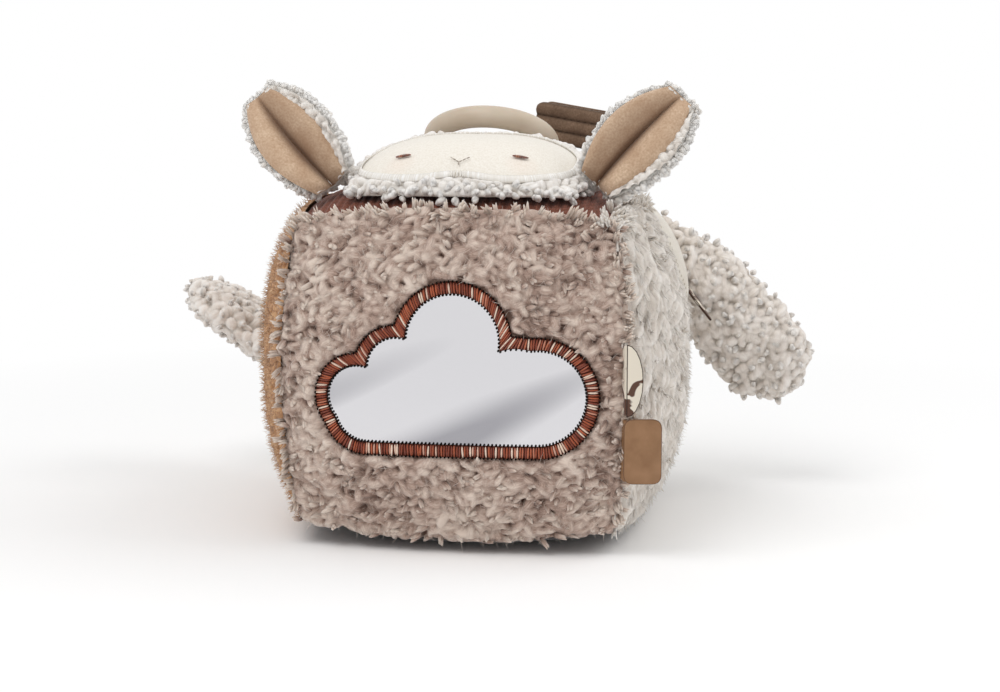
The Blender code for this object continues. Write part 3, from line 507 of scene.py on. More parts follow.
# The front: taupe sherpa, a knitted cloth whose long pile is tumbled into pointed curls. Its cloth
# lies under the curls, with a window for the mirror.
def lie(surface, u, v):
    """Points, outward normals, first directions and relative areas of a surface(u, v)."""
    step = 1e-4
    place = surface(u, v)
    along_u = surface(u + step, v) - surface(u - step, v)
    along_v = surface(u, v + step) - surface(u, v - step)
    normal = np.cross(along_u, along_v)
    area = np.linalg.norm(normal, axis=1)
    normal /= np.maximum(area, 1e-30)[:, None]
    along_u /= np.maximum(np.linalg.norm(along_u, axis=1), 1e-30)[:, None]
    return place, normal, along_u, area


def spread(surface, spacing, seed, keep=None, low=(-1, -1), high=(1, 1)):
    """Spots strewn evenly over a surface, no two closer than the spacing."""
    chance = np.random.default_rng(seed)
    trial = chance.uniform(0, 1, (2, 4000))
    spans = [low[i] + trial[i] * (high[i] - low[i]) for i in range(2)]
    area = lie(surface, *spans)[3]
    whole = area.mean() / (4e-8) * (high[0] - low[0]) * (high[1] - low[1])
    tries = int(5 * whole / spacing**2)
    trial = chance.uniform(0, 1, (2, tries))
    u, v = (low[i] + trial[i] * (high[i] - low[i]) for i in range(2))
    place, normal, along, area = lie(surface, u, v)
    likely = chance.uniform(0, np.percentile(area, 98), tries) < area
    if keep is not None:
        likely &= keep(place, u, v)
    cells, chosen = {}, []
    for i in np.flatnonzero(likely):
        cell = tuple(np.floor(place[i] / spacing).astype(int))
        near = [
            cells[key]
            for key in (
                (cell[0] + a, cell[1] + b, cell[2] + c)
                for a in (-1, 0, 1)
                for b in (-1, 0, 1)
                for c in (-1, 0, 1)
            )
            if key in cells
        ]
        if all(np.sum((place[i] - other) ** 2) > spacing**2 for group in near for other in group):
            cells.setdefault(cell, []).append(place[i])
            chosen.append(i)
    return place[chosen], normal[chosen], along[chosen]


def wander(places, size, seed):
    """A smooth random value from -1 to 1 at each place, with swells about size across."""
    chance = np.random.default_rng(seed)
    total = np.zeros(len(places))
    for _ in range(7):
        way = chance.normal(size=3)
        way *= math.tau / size / np.linalg.norm(way) * chance.uniform(0.6, 1.4)
        total += np.sin(places @ way + chance.uniform(0, math.tau))
    return total / 3.2


def lie_ways(spots, flow, loose, seed):
    """The way that the pile lies at each spot. Flow is its main way, and loose how far it strays."""
    chance = np.random.default_rng(seed)
    places, normals, along = spots
    across = np.cross(normals, along)
    if flow is None:
        heading = wander(places, 0.022, seed + 1) * math.pi
    else:
        aim = np.broadcast_to(np.array(flow, float), normals.shape)
        heading = np.arctan2((aim * across).sum(1), (aim * along).sum(1))
    heading = heading + chance.normal(0, loose, len(places))
    return along * np.cos(heading)[:, None] + across * np.sin(heading)[:, None]


def make_fur(name, spots, lock, length, width, lean, material, seed, flow=None, loose=1.0, swell=0.0):
    """Locks on spots: each leans from the normal by its lean, in radians, and their sizes vary."""
    chance = np.random.default_rng(seed)
    places, normals, _ = spots
    count = len(places)
    lie_way = lie_ways(spots, flow, loose, seed)
    tilt = np.clip(chance.normal(lean, 0.16, count), 0, 1.45)[:, None]
    up = normals * np.cos(tilt) + lie_way * np.sin(tilt)
    turn = chance.normal(0, 0.8, count)[:, None]
    side = unit(np.cross(up, normals * np.cos(turn) + np.cross(normals, lie_way) * np.sin(turn)))
    curl_way = np.cross(side, up)
    lengths = length * chance.uniform(0.75, 1.25, count)[:, None]
    widths = width * chance.uniform(0.7, 1.25, count)[:, None]
    lifted = places + normals * (wander(places, 0.011, seed + 2) * swell)[:, None]
    shades = chance.uniform(0, 1, count)
    ways = (curl_way * widths, side * widths, up * lengths)
    return repeat(name, lock, lifted, ways, shades, material)


def put(verts, places):
    for vert, place in zip(verts, places):
        vert.co = place


def new_grid(cells):
    """A grid of cells from -1 to 1, and the two places of each of its points."""
    bm = bmesh.new()
    bmesh.ops.create_grid(bm, x_segments=cells[0], y_segments=cells[1], size=1)
    return bm, *np.array([vert.co[:2] for vert in bm.verts]).T


def make_wool(name, surface, cells, spots, size, height, material, seed, flow=None, loose=1.0, swell=0.0,
              fade=None):
    """Pile that lies in soft tufts, as one sheet: over each spot it is raised by a tuft of this
    length and width, which is fullest towards its tip. Fade thins it where it is 0."""
    chance = np.random.default_rng(seed)
    places, normals, _ = spots
    ways = lie_ways(spots, flow, loose, seed)
    sides = np.cross(normals, ways)
    grown = chance.uniform(0.7, 1.25, (2, len(places)))
    rises = chance.uniform(0.55, 1.0, len(places))
    shades = chance.uniform(0, 1, len(places))
    near = kdtree.KDTree(len(places))
    for number, place in enumerate(places):
        near.insert(place, number)
    near.balance()
    bm, u, v = new_grid(cells)
    # The normals are taken just inside the edge, where the surface still has two directions
    out = lie(surface, u * 0.99999, v * 0.99999)[1]
    ground = surface(u, v)
    reach = size[0] * 0.66
    whose, which = [], []
    for number, place in enumerate(ground):
        for _, found, _ in near.find_range(place, reach):
            whose.append(number)
            which.append(found)
    whose, which = np.array(whose), np.array(which)
    off = ground[whose] - places[which]
    a = (off * ways[which]).sum(1) / (size[0] / 2 * grown[0, which])
    b = (off * sides[which]).sum(1) / (size[1] / 2 * grown[1, which])
    c = (off * normals[which]).sum(1) / (size[1] / 2)
    full = np.sqrt(np.clip(1 - a**2 - b**2 - c**2, 0, 1)) * (0.75 + 0.25 * a) * rises[which]
    total = np.zeros(len(ground))
    np.add.at(total, whose, full**5)
    total = total**0.2
    order = np.argsort(full, kind="stable")
    strand = np.zeros((len(ground), 3))
    shade = np.full(len(ground), 0.5)
    strand[whose[order], 0] = b[order]
    shade[whose[order]] = shades[which[order]]
    strand[:, 1] = 0.5 * wander(ground, 0.004, seed + 3)
    strand[:, 2] = total
    lift = total * height + wander(ground, 0.011, seed + 2) * swell
    if fade is not None:
        lift = lift * fade(ground, u, v)
    places = ground + out * lift[:, None]
    places[:, Z] = np.maximum(places[:, Z], 0.0001)
    put(bm.verts, places)
    wool = add_piece(name, bm, material)
    store(wool.data, "strand", strand)
    store(wool.data, "shade", shade)
    return wool


def pile_finish(name, deep, mid, light, patch, sheen=0.25, rough=0.95, grain=0.35, soft=0.4):
    """Brushed polyester pile, with painted shade and light: deep colour at the roots and in the hollows
    between tufts, light at the tips, with fine strands.
    """
    material, tree, shader = new_finish(
        name,
        Roughness=rough,
        Sheen_Weight=sheen,
        Sheen_Roughness=0.5,
        Specular_IOR_Level=0.15,
        Subsurface_Weight=soft,
        Subsurface_Radius=(1.0, 1.0, 1.0),
        Subsurface_Scale=0.0012,
    )
    strand = add_node(tree, "Attribute", attribute_name="strand")
    shade = add_node(tree, "Attribute", attribute_name="shade")
    place = add_node(tree, "TexCoord")
    parts = add_node(tree, "SeparateXYZ", {0: (strand, "Vector")})
    blotch = noise(tree, place, patch, 3.0)
    drift = add_node(tree, "MapRange", {0: (blotch, 0), 1: 0.3, 2: 0.7, 3: -0.22, 4: 0.22})
    own = add_node(tree, "MapRange", {0: (shade, "Fac"), 3: -0.2, 4: 0.2})
    # Fibres run up the lock: about seven show across it, which is coarser than the real ones
    shift = add_node(tree, "VectorMath", {0: (strand, "Vector"), 1: (3.4, 3.4, 0.9)}, operation="MULTIPLY")
    own_way = add_node(tree, "Math", {0: (shade, "Fac"), 1: 60.0}, operation="MULTIPLY")
    shift = add_node(tree, "VectorMath", {0: (shift, 0), 1: (own_way, 0)})
    fibre = add_node(tree, "TexNoise", {"Vector": (shift, 0), "Scale": 1.0, "Detail": 2.0})
    streak = add_node(tree, "MapRange", {0: (fibre, 0), 1: 0.3, 2: 0.7, 3: -0.5 * grain, 4: 0.5 * grain})
    # Painted shade and light: the colour runs from deep at the roots and in the hollows between tufts to
    # light at their tips
    height = add_node(tree, "Math", {0: (parts, "Z"), 1: (drift, 0)})
    height = add_node(tree, "Math", {0: (height, 0), 1: (own, 0)})
    height = add_node(tree, "Math", {0: (height, 0), 1: (streak, 0)})
    colour_by(tree, shader, (height, 0), (0.0, deep), (0.95, light), (0.42, mid))
    bump_by(tree, shader, (fibre, 0), grain, 0.0009)
    return material


def facing(side):
    """1 or -1, by which the first share has to be turned so that a side's cloth faces outwards."""
    turned = side in (LEFT, FRONT, BASE) if side[0] != Y else side == BACK
    return -1 if turned else 1


def wrapped(side, share, rolls):
    """One side's cloth, whose pile goes on over its neighbours. Rolls are shares of their half, at the
    low and high end of the first share and of the second."""

    def surface(u, v):
        u = u * facing(side)
        u = u * (1 + np.where(u < 0, rolls[0], rolls[1]))
        v = v * (1 + np.where(v < 0, rolls[2], rolls[3]))
        over = np.maximum(abs(u) - 1, 0) + np.maximum(abs(v) - 1, 0)
        unit = np.empty((len(u), 3))
        first, second = (axis for axis in range(3) if axis != side[0])
        unit[:, side[0]] = side[1] * (1 - over)
        unit[:, first], unit[:, second] = np.clip(u, -1, 1), np.clip(v, -1, 1)
        return block_points(unit, share)

    return surface


taupe = pile_finish("taupe sherpa", "#775F53", "#B49C8F", "#DECEC1", 0.024, grain=0.4, soft=0.4)
# Painted light: a paler copy of the taupe for the crest and the loose fibres, which stand in the light
taupe_painted_light = pile_finish("taupe sherpa tips", "#9C8779", "#C0AC9E", "#DECFC2", 0.024, grain=0.3, soft=0.6)


FRONT_ROLL = (0.020, 0.020, 0.032, 0.060)


def front_ground(u, v):
    """The front's cloth, cut away behind the mirror, where the felt closes it."""
    place = wrapped(FRONT, 0.30, FRONT_ROLL)(u, v)
    inside = np.clip(-cloud_reach(place[:, 0], place[:, 2], BORDER * 0.8) / 0.001, 0, 1)
    place[:, 1] += inside * 0.0035
    return place


curl = make_lock(3, 5, 4, 0.62, 0.30, 0.26, 0.30)
knob = make_lock(3, 6, 5, 0.80, 0.0, 0.24, 0.30)


def off_border(gap):
    """Keeps spots of the front clear of the mirror's border by a gap."""
    return lambda place, u, v: cloud_reach(place[:, 0], place[:, 2], BORDER + gap) > 0


def front_fade(place, u, v):
    """Thins the pile at the border of the mirror and in the seams."""
    clear = np.clip(cloud_reach(place[:, 0], place[:, 2], BORDER + 0.0004) / 0.0016, 0, 1)
    return np.sqrt(clear) * (1 - np.maximum(abs(u), abs(v)) ** 40)


def sideways(places):
    """The front's tufts lie to the left in some patches and to the right in others."""
    return np.column_stack((np.sign(wander(places, 0.03, 27)), 0 * places[:, 0], 0 * places[:, 0] - 0.3))


spots = spread(wrapped(FRONT, 0.30, FRONT_ROLL), 0.0024, 21, keep=off_border(0.0016))
fur = make_wool(
    "front_sherpa", front_ground, (220, 210), spots, (0.0080, 0.0042), 0.0046, taupe, 22,
    flow=sideways(spots[0]), loose=0.7, swell=0.0011, fade=front_fade,
)
dress(fur, "block", "front_panel", slot="taupe_sherpa")
# Curls that lie on the tufts and over the seams
spots = spread(wrapped(FRONT, 0.46, (0, 0, 0.01, 0.03)), 0.0044, 25, keep=off_border(0.0030))
fur = make_fur(
    "front_sherpa_curls", spots, curl, 0.0052, 0.0038, 1.30, taupe, 26, flow=sideways(spots[0]), loose=0.7,
    swell=0.0008,
)
dress(fur, "block", slot="taupe_sherpa")
# At the seams it stands up in soft tufts over the knit, the camel and the white plush
fluff = make_lock(4, 4, 4, 0.42, 0.35, 0.32, 0.40)
spots = spread(
    wrapped(FRONT, 0.40, (0, 0, 0, 0.02)), 0.0021, 28,
    keep=lambda place, u, v: ((np.maximum(u, v) > 0.962) | (u < -0.986)) & (v > -0.95),
)
outwards = (spots[0] - MIDDLE) * (1, 0, 1) + (0, -0.01, 0)
fur = make_fur(
    "front_sherpa_crest", spots, fluff, 0.0058, 0.0042, 0.75, taupe_painted_light, 29, flow=outwards, loose=0.8
)
dress(fur, "block", slot="taupe_sherpa")
# Loose fibres stand between the curls and soften them
wisp = make_lock(1, 3, 4, 1.0, 0.6, 0.0, 3.2)
spots = spread(wrapped(FRONT, 0.5, (0, 0, 0, 0.03)), 0.0020, 23, keep=off_border(0.0014))
wisps = make_fur("front_sherpa_fibres", spots, wisp, 0.0050, 0.00032, 1.1, taupe_painted_light, 24, loose=2.0)
dress(wisps, "block", slot="taupe_sherpa")

# The left side: camel plush, a knitted cloth whose pile is shorter and tighter than the front's.
# It is sewn in all round, and its pile stands over the seams.
camel = pile_finish("camel plush", "#845731", "#B98659", "#DCB083", 0.012, grain=0.45, soft=0.3)
LEFT_ROLL = (0, 0.02, 0.03, 0.03)
spots = spread(wrapped(LEFT, 0.45, LEFT_ROLL), 0.0015, 31)


def seam_fade(place, u, v):
    """Thins the pile in the seams."""
    return 1 - np.maximum(abs(u), abs(v)) ** 40


fur = make_wool(
    "left_plush", wrapped(LEFT, 0.45, LEFT_ROLL), (200, 190), spots, (0.0030, 0.0022), 0.0020, camel, 32,
    loose=1.5, swell=0.0004, fade=seam_fade,
)
dress(fur, "block", "left_panel", slot="camel_plush")
spots = spread(wrapped(LEFT, 0.62, (0, 0, 0, 0)), 0.0019, 33)
wisps = make_fur("left_plush_fibres", spots, wisp, 0.0030, 0.00040, 0.8, camel, 34, loose=2.0)
dress(wisps, "block", slot="camel_plush")

# The right side: off-white long plush, brushed out so that it falls in soft tapered tufts. The
# upper rear corner is the ivory velour of the back, which comes round the seam there.
long_white = pile_finish(
    "off-white long plush", "#C8BEB3", "#DAD1C7", "#E9E2DA", 0.03, sheen=0.35, grain=0.4, soft=0.6
)
VELOUR_FRONT, VELOUR_LOW, VELOUR_SLANT = -0.010, 0.112, 2.2


def velour_seam(z):
    """How far back the plush reaches at a height: its seam with the velour slants down to the rear."""
    return VELOUR_FRONT + np.maximum(VELOUR_LOW - z, 0) * VELOUR_SLANT


def furred(place, u, v):
    """Keeps spots of the right side in front of the velour corner."""
    return place[:, 1] < velour_seam(place[:, 2])


def right_fade(place, u, v):
    """Thins the plush in the seams and at the velour corner."""
    clear = velour_seam(place[:, 2]) + 0.001 - place[:, 1]
    return np.clip(clear / 0.002, 0, 1) * (1 - np.maximum(abs(u), abs(v)) ** 40)


RIGHT_ROLL = (0, 0.02, 0.055, 0.075)
BRUSHED = (0.1, -0.35, -0.6)
spots = spread(wrapped(RIGHT, 0.22, RIGHT_ROLL), 0.0026, 41, keep=furred)
fur = make_wool(
    "right_plush", wrapped(RIGHT, 0.22, RIGHT_ROLL), (200, 190), spots, (0.0105, 0.0048), 0.0036,
    long_white, 42, flow=BRUSHED, loose=0.5, swell=0.0012, fade=right_fade,
)
dress(fur, "block", "right_panel", slot="long_plush")
tuft = make_lock(4, 4, 4, 0.36, 0.5, 0.34, 0.35)
spots = spread(wrapped(RIGHT, 0.26, (0, 0, 0.03, 0.06)), 0.0048, 45, keep=furred)
fur = make_fur(
    "right_plush_tufts", spots, tuft, 0.0070, 0.0040, 1.34, long_white, 46, flow=BRUSHED, loose=0.5
)
dress(fur, "block", slot="long_plush")
# Along the top seam it stands up and hides the end of the knit
spots = spread(
    wrapped(RIGHT, 0.30, (0, 0, 0, 0.10)), 0.0026, 48,
    keep=lambda place, u, v: (v > 0.88) & (place[:, 1] < 0.0) & (abs(place[:, 1] + 0.037) > 0.009),
)
fur = make_fur(
    "right_plush_crest", spots, fluff, 0.0064, 0.0048, 0.95, long_white, 49, flow=(0.1, -0.6, 0.5), loose=0.7
)
dress(fur, "block", slot="long_plush")
spots = spread(wrapped(RIGHT, 0.40, (0, 0, 0.02, 0.06)), 0.0021, 43, keep=furred)
wisps = make_fur(
    "right_plush_fibres", spots, wisp, 0.0060, 0.00032, 1.15, long_white, 44, flow=BRUSHED, loose=0.7,
)
dress(wisps, "block", slot="long_plush")

# The back, and the corner of the right side: ivory velour with a short even nap. The back is sewn
# in all round, and the corner is stitched down on the edge of the plush.
def panel(side, share, rim=0.1):
    """The surface of one side's cloth, which falls to its seams."""

    def surface(u, v):
        u, v = np.clip(u * facing(side), -1, 1), np.clip(v, -1, 1)
        place = side_at(side, u, v, rim)
        edge = np.maximum(abs(u), abs(v)) ** 10
        raised = side_at(side, u, v, share * (1 - edge) + rim * edge)
        place[:, side[0]] = raised[:, side[0]]
        return place

    return surface


def make_cloth(name, surface, cells, material):
    """A sheet over surface(u, v), made from a grid of cells."""
    bm, u, v = new_grid(cells)
    put(bm.verts, surface(u, v))
    return add_piece(name, bm, material)


ivory = velour_finish("ivory velour", "#CFC6B8", "#E6DFD3")
cloth = make_cloth("back_cloth", panel(BACK, 1.0, 0.5), (48, 48), ivory)
dress(cloth, "block", "back_panel", slot="ivory_velour")


def corner_surface(u, v):
    """The velour corner of the right side, from the slanting seam to the back seam."""
    up = (v + 1) / 2
    low_z, high_z = 0.074, 0.141
    z = low_z + (high_z - low_z) * up
    start = np.minimum(velour_seam(z) - 0.002, 0.0715)
    y = start + (0.0715 - start) * (u + 1) / 2
    tall = (z - MIDDLE[Z]) / (HALF[Z] + PILE[TOP] * 0.5)
    across = y / ((HALF[Y] + PILE[BACK] * 0.5) * (1 - PULL * tall**2))
    place = side_at(RIGHT, np.clip(across, -1, 1), np.clip(tall, -1, 1), 0.30)
    place[:, 0] += 0.0035 * (1 - abs(u) ** 4) * np.clip(1 - abs(v) ** 4, 0, 1)
    return place


corner = make_cloth("right_corner_velour", corner_surface, (40, 40), ivory)
dress(corner, "block", slot="ivory_velour")
# Two rows of slanting stitches hold it: one along the plush and one along the arm
ecru = satin_finish("ecru sewing thread", "#B9AC9A", "#CFC4B4", "#E9E1D5")
seam_u, seam_v = np.concatenate((np.full(26, -0.86), np.full(20, 0.62))), np.concatenate((
    np.linspace(-0.9, 0.92, 26), np.linspace(-0.2, 0.9, 20)
))
place, out, _, _ = lie(corner_surface, seam_u, seam_v)
ends, _, _, _ = lie(corner_surface, seam_u + 0.05, seam_v + 0.035)
stitches = make_stitches("right_corner_stitches", place, ends, out, 0.0006, 0.0008, ecru, 47)
dress(stitches, "block", slot="white_thread")

# Under the panels: their seam allowances, folded inwards and sewn together, which close the seams
allowance = velour_finish("sewn seam allowances", "#5F4A3D", "#8A7363")
bm = bmesh.new()
for side in (LEFT, RIGHT, FRONT, BACK, BASE, TOP):
    made = bmesh.ops.create_grid(bm, x_segments=24, y_segments=24, size=1)["verts"]
    u, v = np.array([vert.co[:2] for vert in made]).T
    put(made, side_at(side, u * facing(side), v, 0.0))
bmesh.ops.translate(bm, verts=bm.verts[:], vec=-Vector(MIDDLE))
bmesh.ops.scale(bm, verts=bm.verts[:], vec=(0.9965, 0.9965, 0.9965))
bmesh.ops.translate(bm, verts=bm.verts[:], vec=Vector(MIDDLE))
bmesh.ops.remove_doubles(bm, verts=bm.verts[:], dist=1e-5)
under = add_piece("seam_allowances", bm, allowance)
dress(under, "block")

# The base: velour, sewn in all round and pressed flat where the block stands. Its dark brown is painted
# shade: the cloth as it looks in the shadow under the block.
brown = velour_finish("dark brown velour", "#24130E", "#40261E")
cloth = make_cloth("base_cloth", panel(BASE, 1.0, 0.1), (40, 40), brown)
dress(cloth, "block", "bottom_panel", slot="brown_velour")


# The top: rust rib knit of a soft brushed yarn, sewn in all round. Its ribs run from front to
# back, 3.7 mm apart.
RIB = 0.0037


def knit_surface(u, v):
    place = panel(TOP, 1.0)(u, v)
    place[:, 2] += 0.00045 * (np.cos(place[:, 0] * math.tau / RIB) - 1)
    return place


knit, tree, shader = new_finish(
    "rust rib knit", Roughness=0.95, Sheen_Weight=0.25, Sheen_Roughness=0.4, Specular_IOR_Level=0.2
)
place = add_node(tree, "TexCoord")
# Stitches lie 1.1 mm apart along a rib and 0.9 mm across it
grid = add_node(
    tree, "VectorMath", {0: (place, "Object"), 1: (1 / 0.0009, 1 / 0.0011, 1 / 0.0011)},
    operation="MULTIPLY",
)
loops = add_node(tree, "TexVoronoi", {"Vector": (grid, 0), "Scale": 1.0, "Randomness": 0.35})
fuzz = noise(tree, place, 0.0006, 3.0)
both = add_node(tree, "Math", {0: (loops, 0), 1: (fuzz, 0)}, operation="MULTIPLY")
colour_by(tree, shader, (both, 0), (0.05, "#8C5544"), (0.5, "#43210F"))
bump_by(tree, shader, (both, 0), 0.7, 0.0004, invert=True)
cloth = make_cloth("top_knit", knit_surface, (300, 24), knit)
dress(cloth, "block", "top_panel", slot="rust_rib_knit")


# The head: a stuffed pad with white fleece over it, flat below, sewn down all round on the knit.
HEAD_WIDE, HEAD_DEEP, HEAD_Y, HEAD_TALL = 0.0555, 0.054, -0.012, 0.0190


def head_dome(x, y, s, t, inset):
    """Points of the dome at places of its plan, which lie at shares s and t of its half sizes."""
    full = np.clip((1 - np.clip(abs(s), 0, 1) ** 3) * (1 - np.clip(abs(t), 0, 1) ** 3), 0, 1) ** 0.62
    return np.column_stack((x, y, side_over(TOP, x, y, 1.0)[:, Z] + 0.0006 + (HEAD_TALL - inset) * full))


def head_at(x, y, inset):
    """Points of the head's dome over places of its plan, inset from the tips of its pile."""
    s, t = np.zeros(len(x)), np.zeros(len(x))
    for _ in range(6):
        s = x / ((HEAD_WIDE - inset) * (1 - 0.16 * t**2))
        t = (y - HEAD_Y) / ((HEAD_DEEP - inset) * (1 - 0.16 * s**2))
    return head_dome(x, y, s, t, inset)


def head_surface(inset):
    """The head's dome as a surface(u, v)."""

    def surface(u, v):
        s, t = np.sin(np.clip(u, -1, 1) * math.pi / 2), np.sin(np.clip(v, -1, 1) * math.pi / 2)
        x = (HEAD_WIDE - inset) * s * (1 - 0.16 * t**2)
        y = HEAD_Y + (HEAD_DEEP - inset) * t * (1 - 0.16 * s**2)
        return head_dome(x, y, s, t, inset)

    return surface


FACE_WIDE, FACE_DEEP, FACE_Y, NOTCH = 0.047, 0.0335, -0.0270, 0.0015


def face_share(place):
    """Under 1 inside the face patch's outline, which has a shallow notch at the front."""
    y = place[:, 1] - FACE_Y
    y = np.where(y < 0, y - NOTCH * np.exp(-((place[:, 0] / 0.012) ** 2)), y)
    return (abs(place[:, 0]) / FACE_WIDE) ** (2 / 0.75) + (abs(y) / FACE_DEEP) ** (2 / 0.75)


def face_path(inset, count):
    """Points round the face patch in plan."""
    angles = math.tau * np.arange(count) / count
    x = (FACE_WIDE - inset) * np.copysign(abs(np.cos(angles)) ** 0.75, np.cos(angles))
    y = (FACE_DEEP - inset) * np.copysign(abs(np.sin(angles)) ** 0.75, np.sin(angles))
    y = np.where(y < 0, y + NOTCH * np.exp(-((x / 0.012) ** 2)), y)
    return x, FACE_Y + y


fleece = pile_finish("white fleece", "#D4CDC5", "#E7E2DC", "#F4F0EC", 0.02, sheen=0.35, grain=0.4, soft=0.6)
fleece_cloth = velour_finish("white fleece ground", "#D5D2CC", "#E6E3DE", nap=0.0014)


def off_face(place, u, v):
    return face_share(place) > 1.02


def head_fade(place, u, v):
    """Thins the fleece under the face and where the head is sewn down."""
    return np.clip((face_share(place) - 0.98) / 0.08, 0, 1) * (1 - np.maximum(abs(u), abs(v)) ** 60)


spots = spread(head_surface(0.0026), 0.0024, 51, keep=off_face)
fur = make_wool(
    "head_fleece", head_surface(0.0026), (190, 190), spots, (0.0056, 0.0042), 0.0034, fleece, 52, loose=1.4,
    swell=0.0008, fade=head_fade,
)
dress(fur, "block", "head_cover", "head_filling", slot="white_fleece")
# Curls hang over the seam all round the head
spots = spread(
    head_surface(0.0020), 0.0026, 55,
    keep=lambda place, u, v: (np.maximum(abs(u), abs(v)) > 0.80) & (face_share(place) > 1.12),
)
outwards = (spots[0] - (0, HEAD_Y, 0)) * (1, 1, 0) + (0, 0, -0.03)
fur = make_fur("head_fleece_curls", spots, knob, 0.0036, 0.0038, 1.0, fleece, 56, flow=outwards, loose=1.2)
dress(fur, "block", slot="white_fleece")
# The face: an ivory velour patch, a little puffed, with a faint blush under each eye. It is sewn
# down on the fleece.
face_velour, tree, shader = new_finish(
    "ivory face velour", Roughness=0.9, Sheen_Weight=0.35, Sheen_Roughness=0.35, Specular_IOR_Level=0.2
)
place = add_node(tree, "TexCoord")
speck = noise(tree, place, 0.0008, 3.0)
colour = (colour_by(tree, shader, (speck, 0), (0.3, "#E6DFD3"), (0.65, "#F2EDE4")), 0)
for cheek in (-0.0275, 0.0275):
    near = add_node(
        tree, "VectorMath", {0: (place, "Object"), 1: (cheek, -0.0545, 0.166)}, operation="DISTANCE"
    )
    blush = add_node(tree, "MapRange", {0: (near, "Value"), 1: 0.001, 2: 0.011, 3: 0.35, 4: 0.0})
    blend = add_node(tree, "Mix", {0: (blush, 0), 6: colour, 7: linear("#EFC9B4")}, data_type="RGBA")
    colour = (blend, 2)
tree.links.new(colour[0].outputs[colour[1]], shader.inputs["Base Color"])
bump_by(tree, shader, (speck, 0), 0.5, 0.00012)

bm = bmesh.new()
loops = []
FACE_POINTS = 96
path_x, path_y = face_path(0.0, FACE_POINTS)
for shrink in (1.0, 0.985, 0.955, 0.90, 0.80, 0.68, 0.54, 0.38, 0.22, 0.08):
    x = path_x * shrink
    y = FACE_Y + (path_y - FACE_Y) * shrink
    puff = 0.0009 * (1 - shrink**6)
    loops.append(add_ring(bm, head_at(x, y, 0.0024) + np.array((0, 0, puff))))
for low, high in zip(loops, loops[1:]):
    bmesh.ops.bridge_loops(bm, edges=low + high)
bmesh.ops.holes_fill(bm, edges=loops[-1])
face_out(bm, (0, 0, 1))
face = add_piece("face_velour", bm, face_velour)
dress(face, "block", "face_patch", slot="ivory_velour")

# Its edge: a raised roll of white satin thread, sewn right over the patch's edge
pearl = satin_finish("white satin thread", "#EBE6DE", "#F2EEE8", "#FCFAF7", rough=0.25)
count = 680
far = head_at(*face_path(-0.0004, count), 0.0020)
near = head_at(*face_path(0.0013, count), 0.0014)
edge = make_stitches("face_satin_edge", far, near, (0, -0.25, 1), 0.0012, 0.0018, pearl, 61)
dress(edge, "block", "face_piping", slot="white_thread")

# The eyes: short satin stitches across a narrow lens. The nose: single threads in a Y.
LIFT, SEWN = np.array((0, 0, 0.0009)), (0, -0.4, 1)
chestnut = satin_finish("brown embroidery thread", "#5B2E1C", "#87492D", "#B5764F")
for side, word in ((-1, "left"), (1, "right")):
    along = np.linspace(-0.0031, 0.0031, 15)
    half = 0.0010 * np.sqrt(np.clip(1 - (along / 0.0034) ** 2, 0.02, 1))
    lean = side * math.radians(8)
    eye_x = side * 0.02485 + along * math.cos(lean)
    eye_y = -0.0475 + along * math.sin(lean)
    low, high = head_at(eye_x, eye_y - half, 0.0016), head_at(eye_x, eye_y + half, 0.0016)
    eye = make_stitches(f"eye_{word}_stitches", low + LIFT, high + LIFT, SEWN, 0.00056, 0.0007, chestnut, 62)
    dress(eye, "block", f"eye_{word}", slot="brown_thread")

grey_thread = satin_finish("grey-beige embroidery thread", "#8F8173", "#AFA294", "#CDC3B7")
fork = np.array((0.0, -0.0545))
ways = [np.array((-0.0042, -0.0516)), np.array((0.0042, -0.0516)), np.array((0.0, -0.0560))]
starts, ends = [], []
for tip in ways:
    parts = 3 if tip[1] > fork[1] else 1
    for part in range(parts):
        starts.append(fork + (tip - fork) * part / parts)
        ends.append(fork + (tip - fork) * (part + 0.96) / parts)
starts, ends = np.array(starts), np.array(ends)
low, high = (head_at(*spots.T, 0.0016) + LIFT for spots in (starts, ends))
nose = make_stitches("nose_stitches", low, high, SEWN, 0.00055, 0.0006, grey_thread, 63)
dress(nose, "block", "nose_stitch")


# The ears: leaves folded along their middle and open to the front. Outside is white teddy, inside
# tan velour, with a crinkle foil between that is never seen.
EAR_LENGTH, EAR_HALF = 0.052, 0.021


def ear_at(side, share, forward, puff=0.0):
    """A layer of one ear: v runs from its root to its tip, u across it."""
    splay, lean, turn = math.radians(43), math.radians(8), math.radians(14)
    along = Vector((side * math.sin(splay), math.sin(lean), math.cos(splay))).normalized()
    facing = Vector((-side * math.sin(turn), -math.cos(turn), 0))
    facing = (facing - along * facing.dot(along)).normalized()
    across = np.array(along.cross(facing))
    along, facing = np.array(along), np.array(facing)
    root = np.array((side * 0.0565, -0.037, 0.1505))

    def surface(u, v):
        length = (v + 1) / 2 * (1 - (1 - share) / 2)
        wide = u * share
        turned = np.clip(0.16 + 0.76 * length, 0.001, 1) ** 0.85
        leaf = np.sin(math.pi * turned) ** 0.75
        fold = 0.011 - 0.005 * length
        place = root + np.outer(EAR_LENGTH * length, along)
        place += np.outer(EAR_HALF * leaf * wide * (0.62 * (1 - length) + length), across)
        rise = fold * leaf * abs(wide) ** 1.4 + forward + puff * np.cos(wide * math.pi / 2) * leaf
        return place + np.outer(rise, facing)

    return surface


def reversed_across(surface):
    """The same surface with u reversed, so that it faces the other way."""
    return lambda u, v: surface(-u, v)


teddy = pile_finish("white teddy", "#CFC7BE", "#E4DED7", "#F3EFEA", 0.018, sheen=0.35, grain=0.35, soft=0.6)


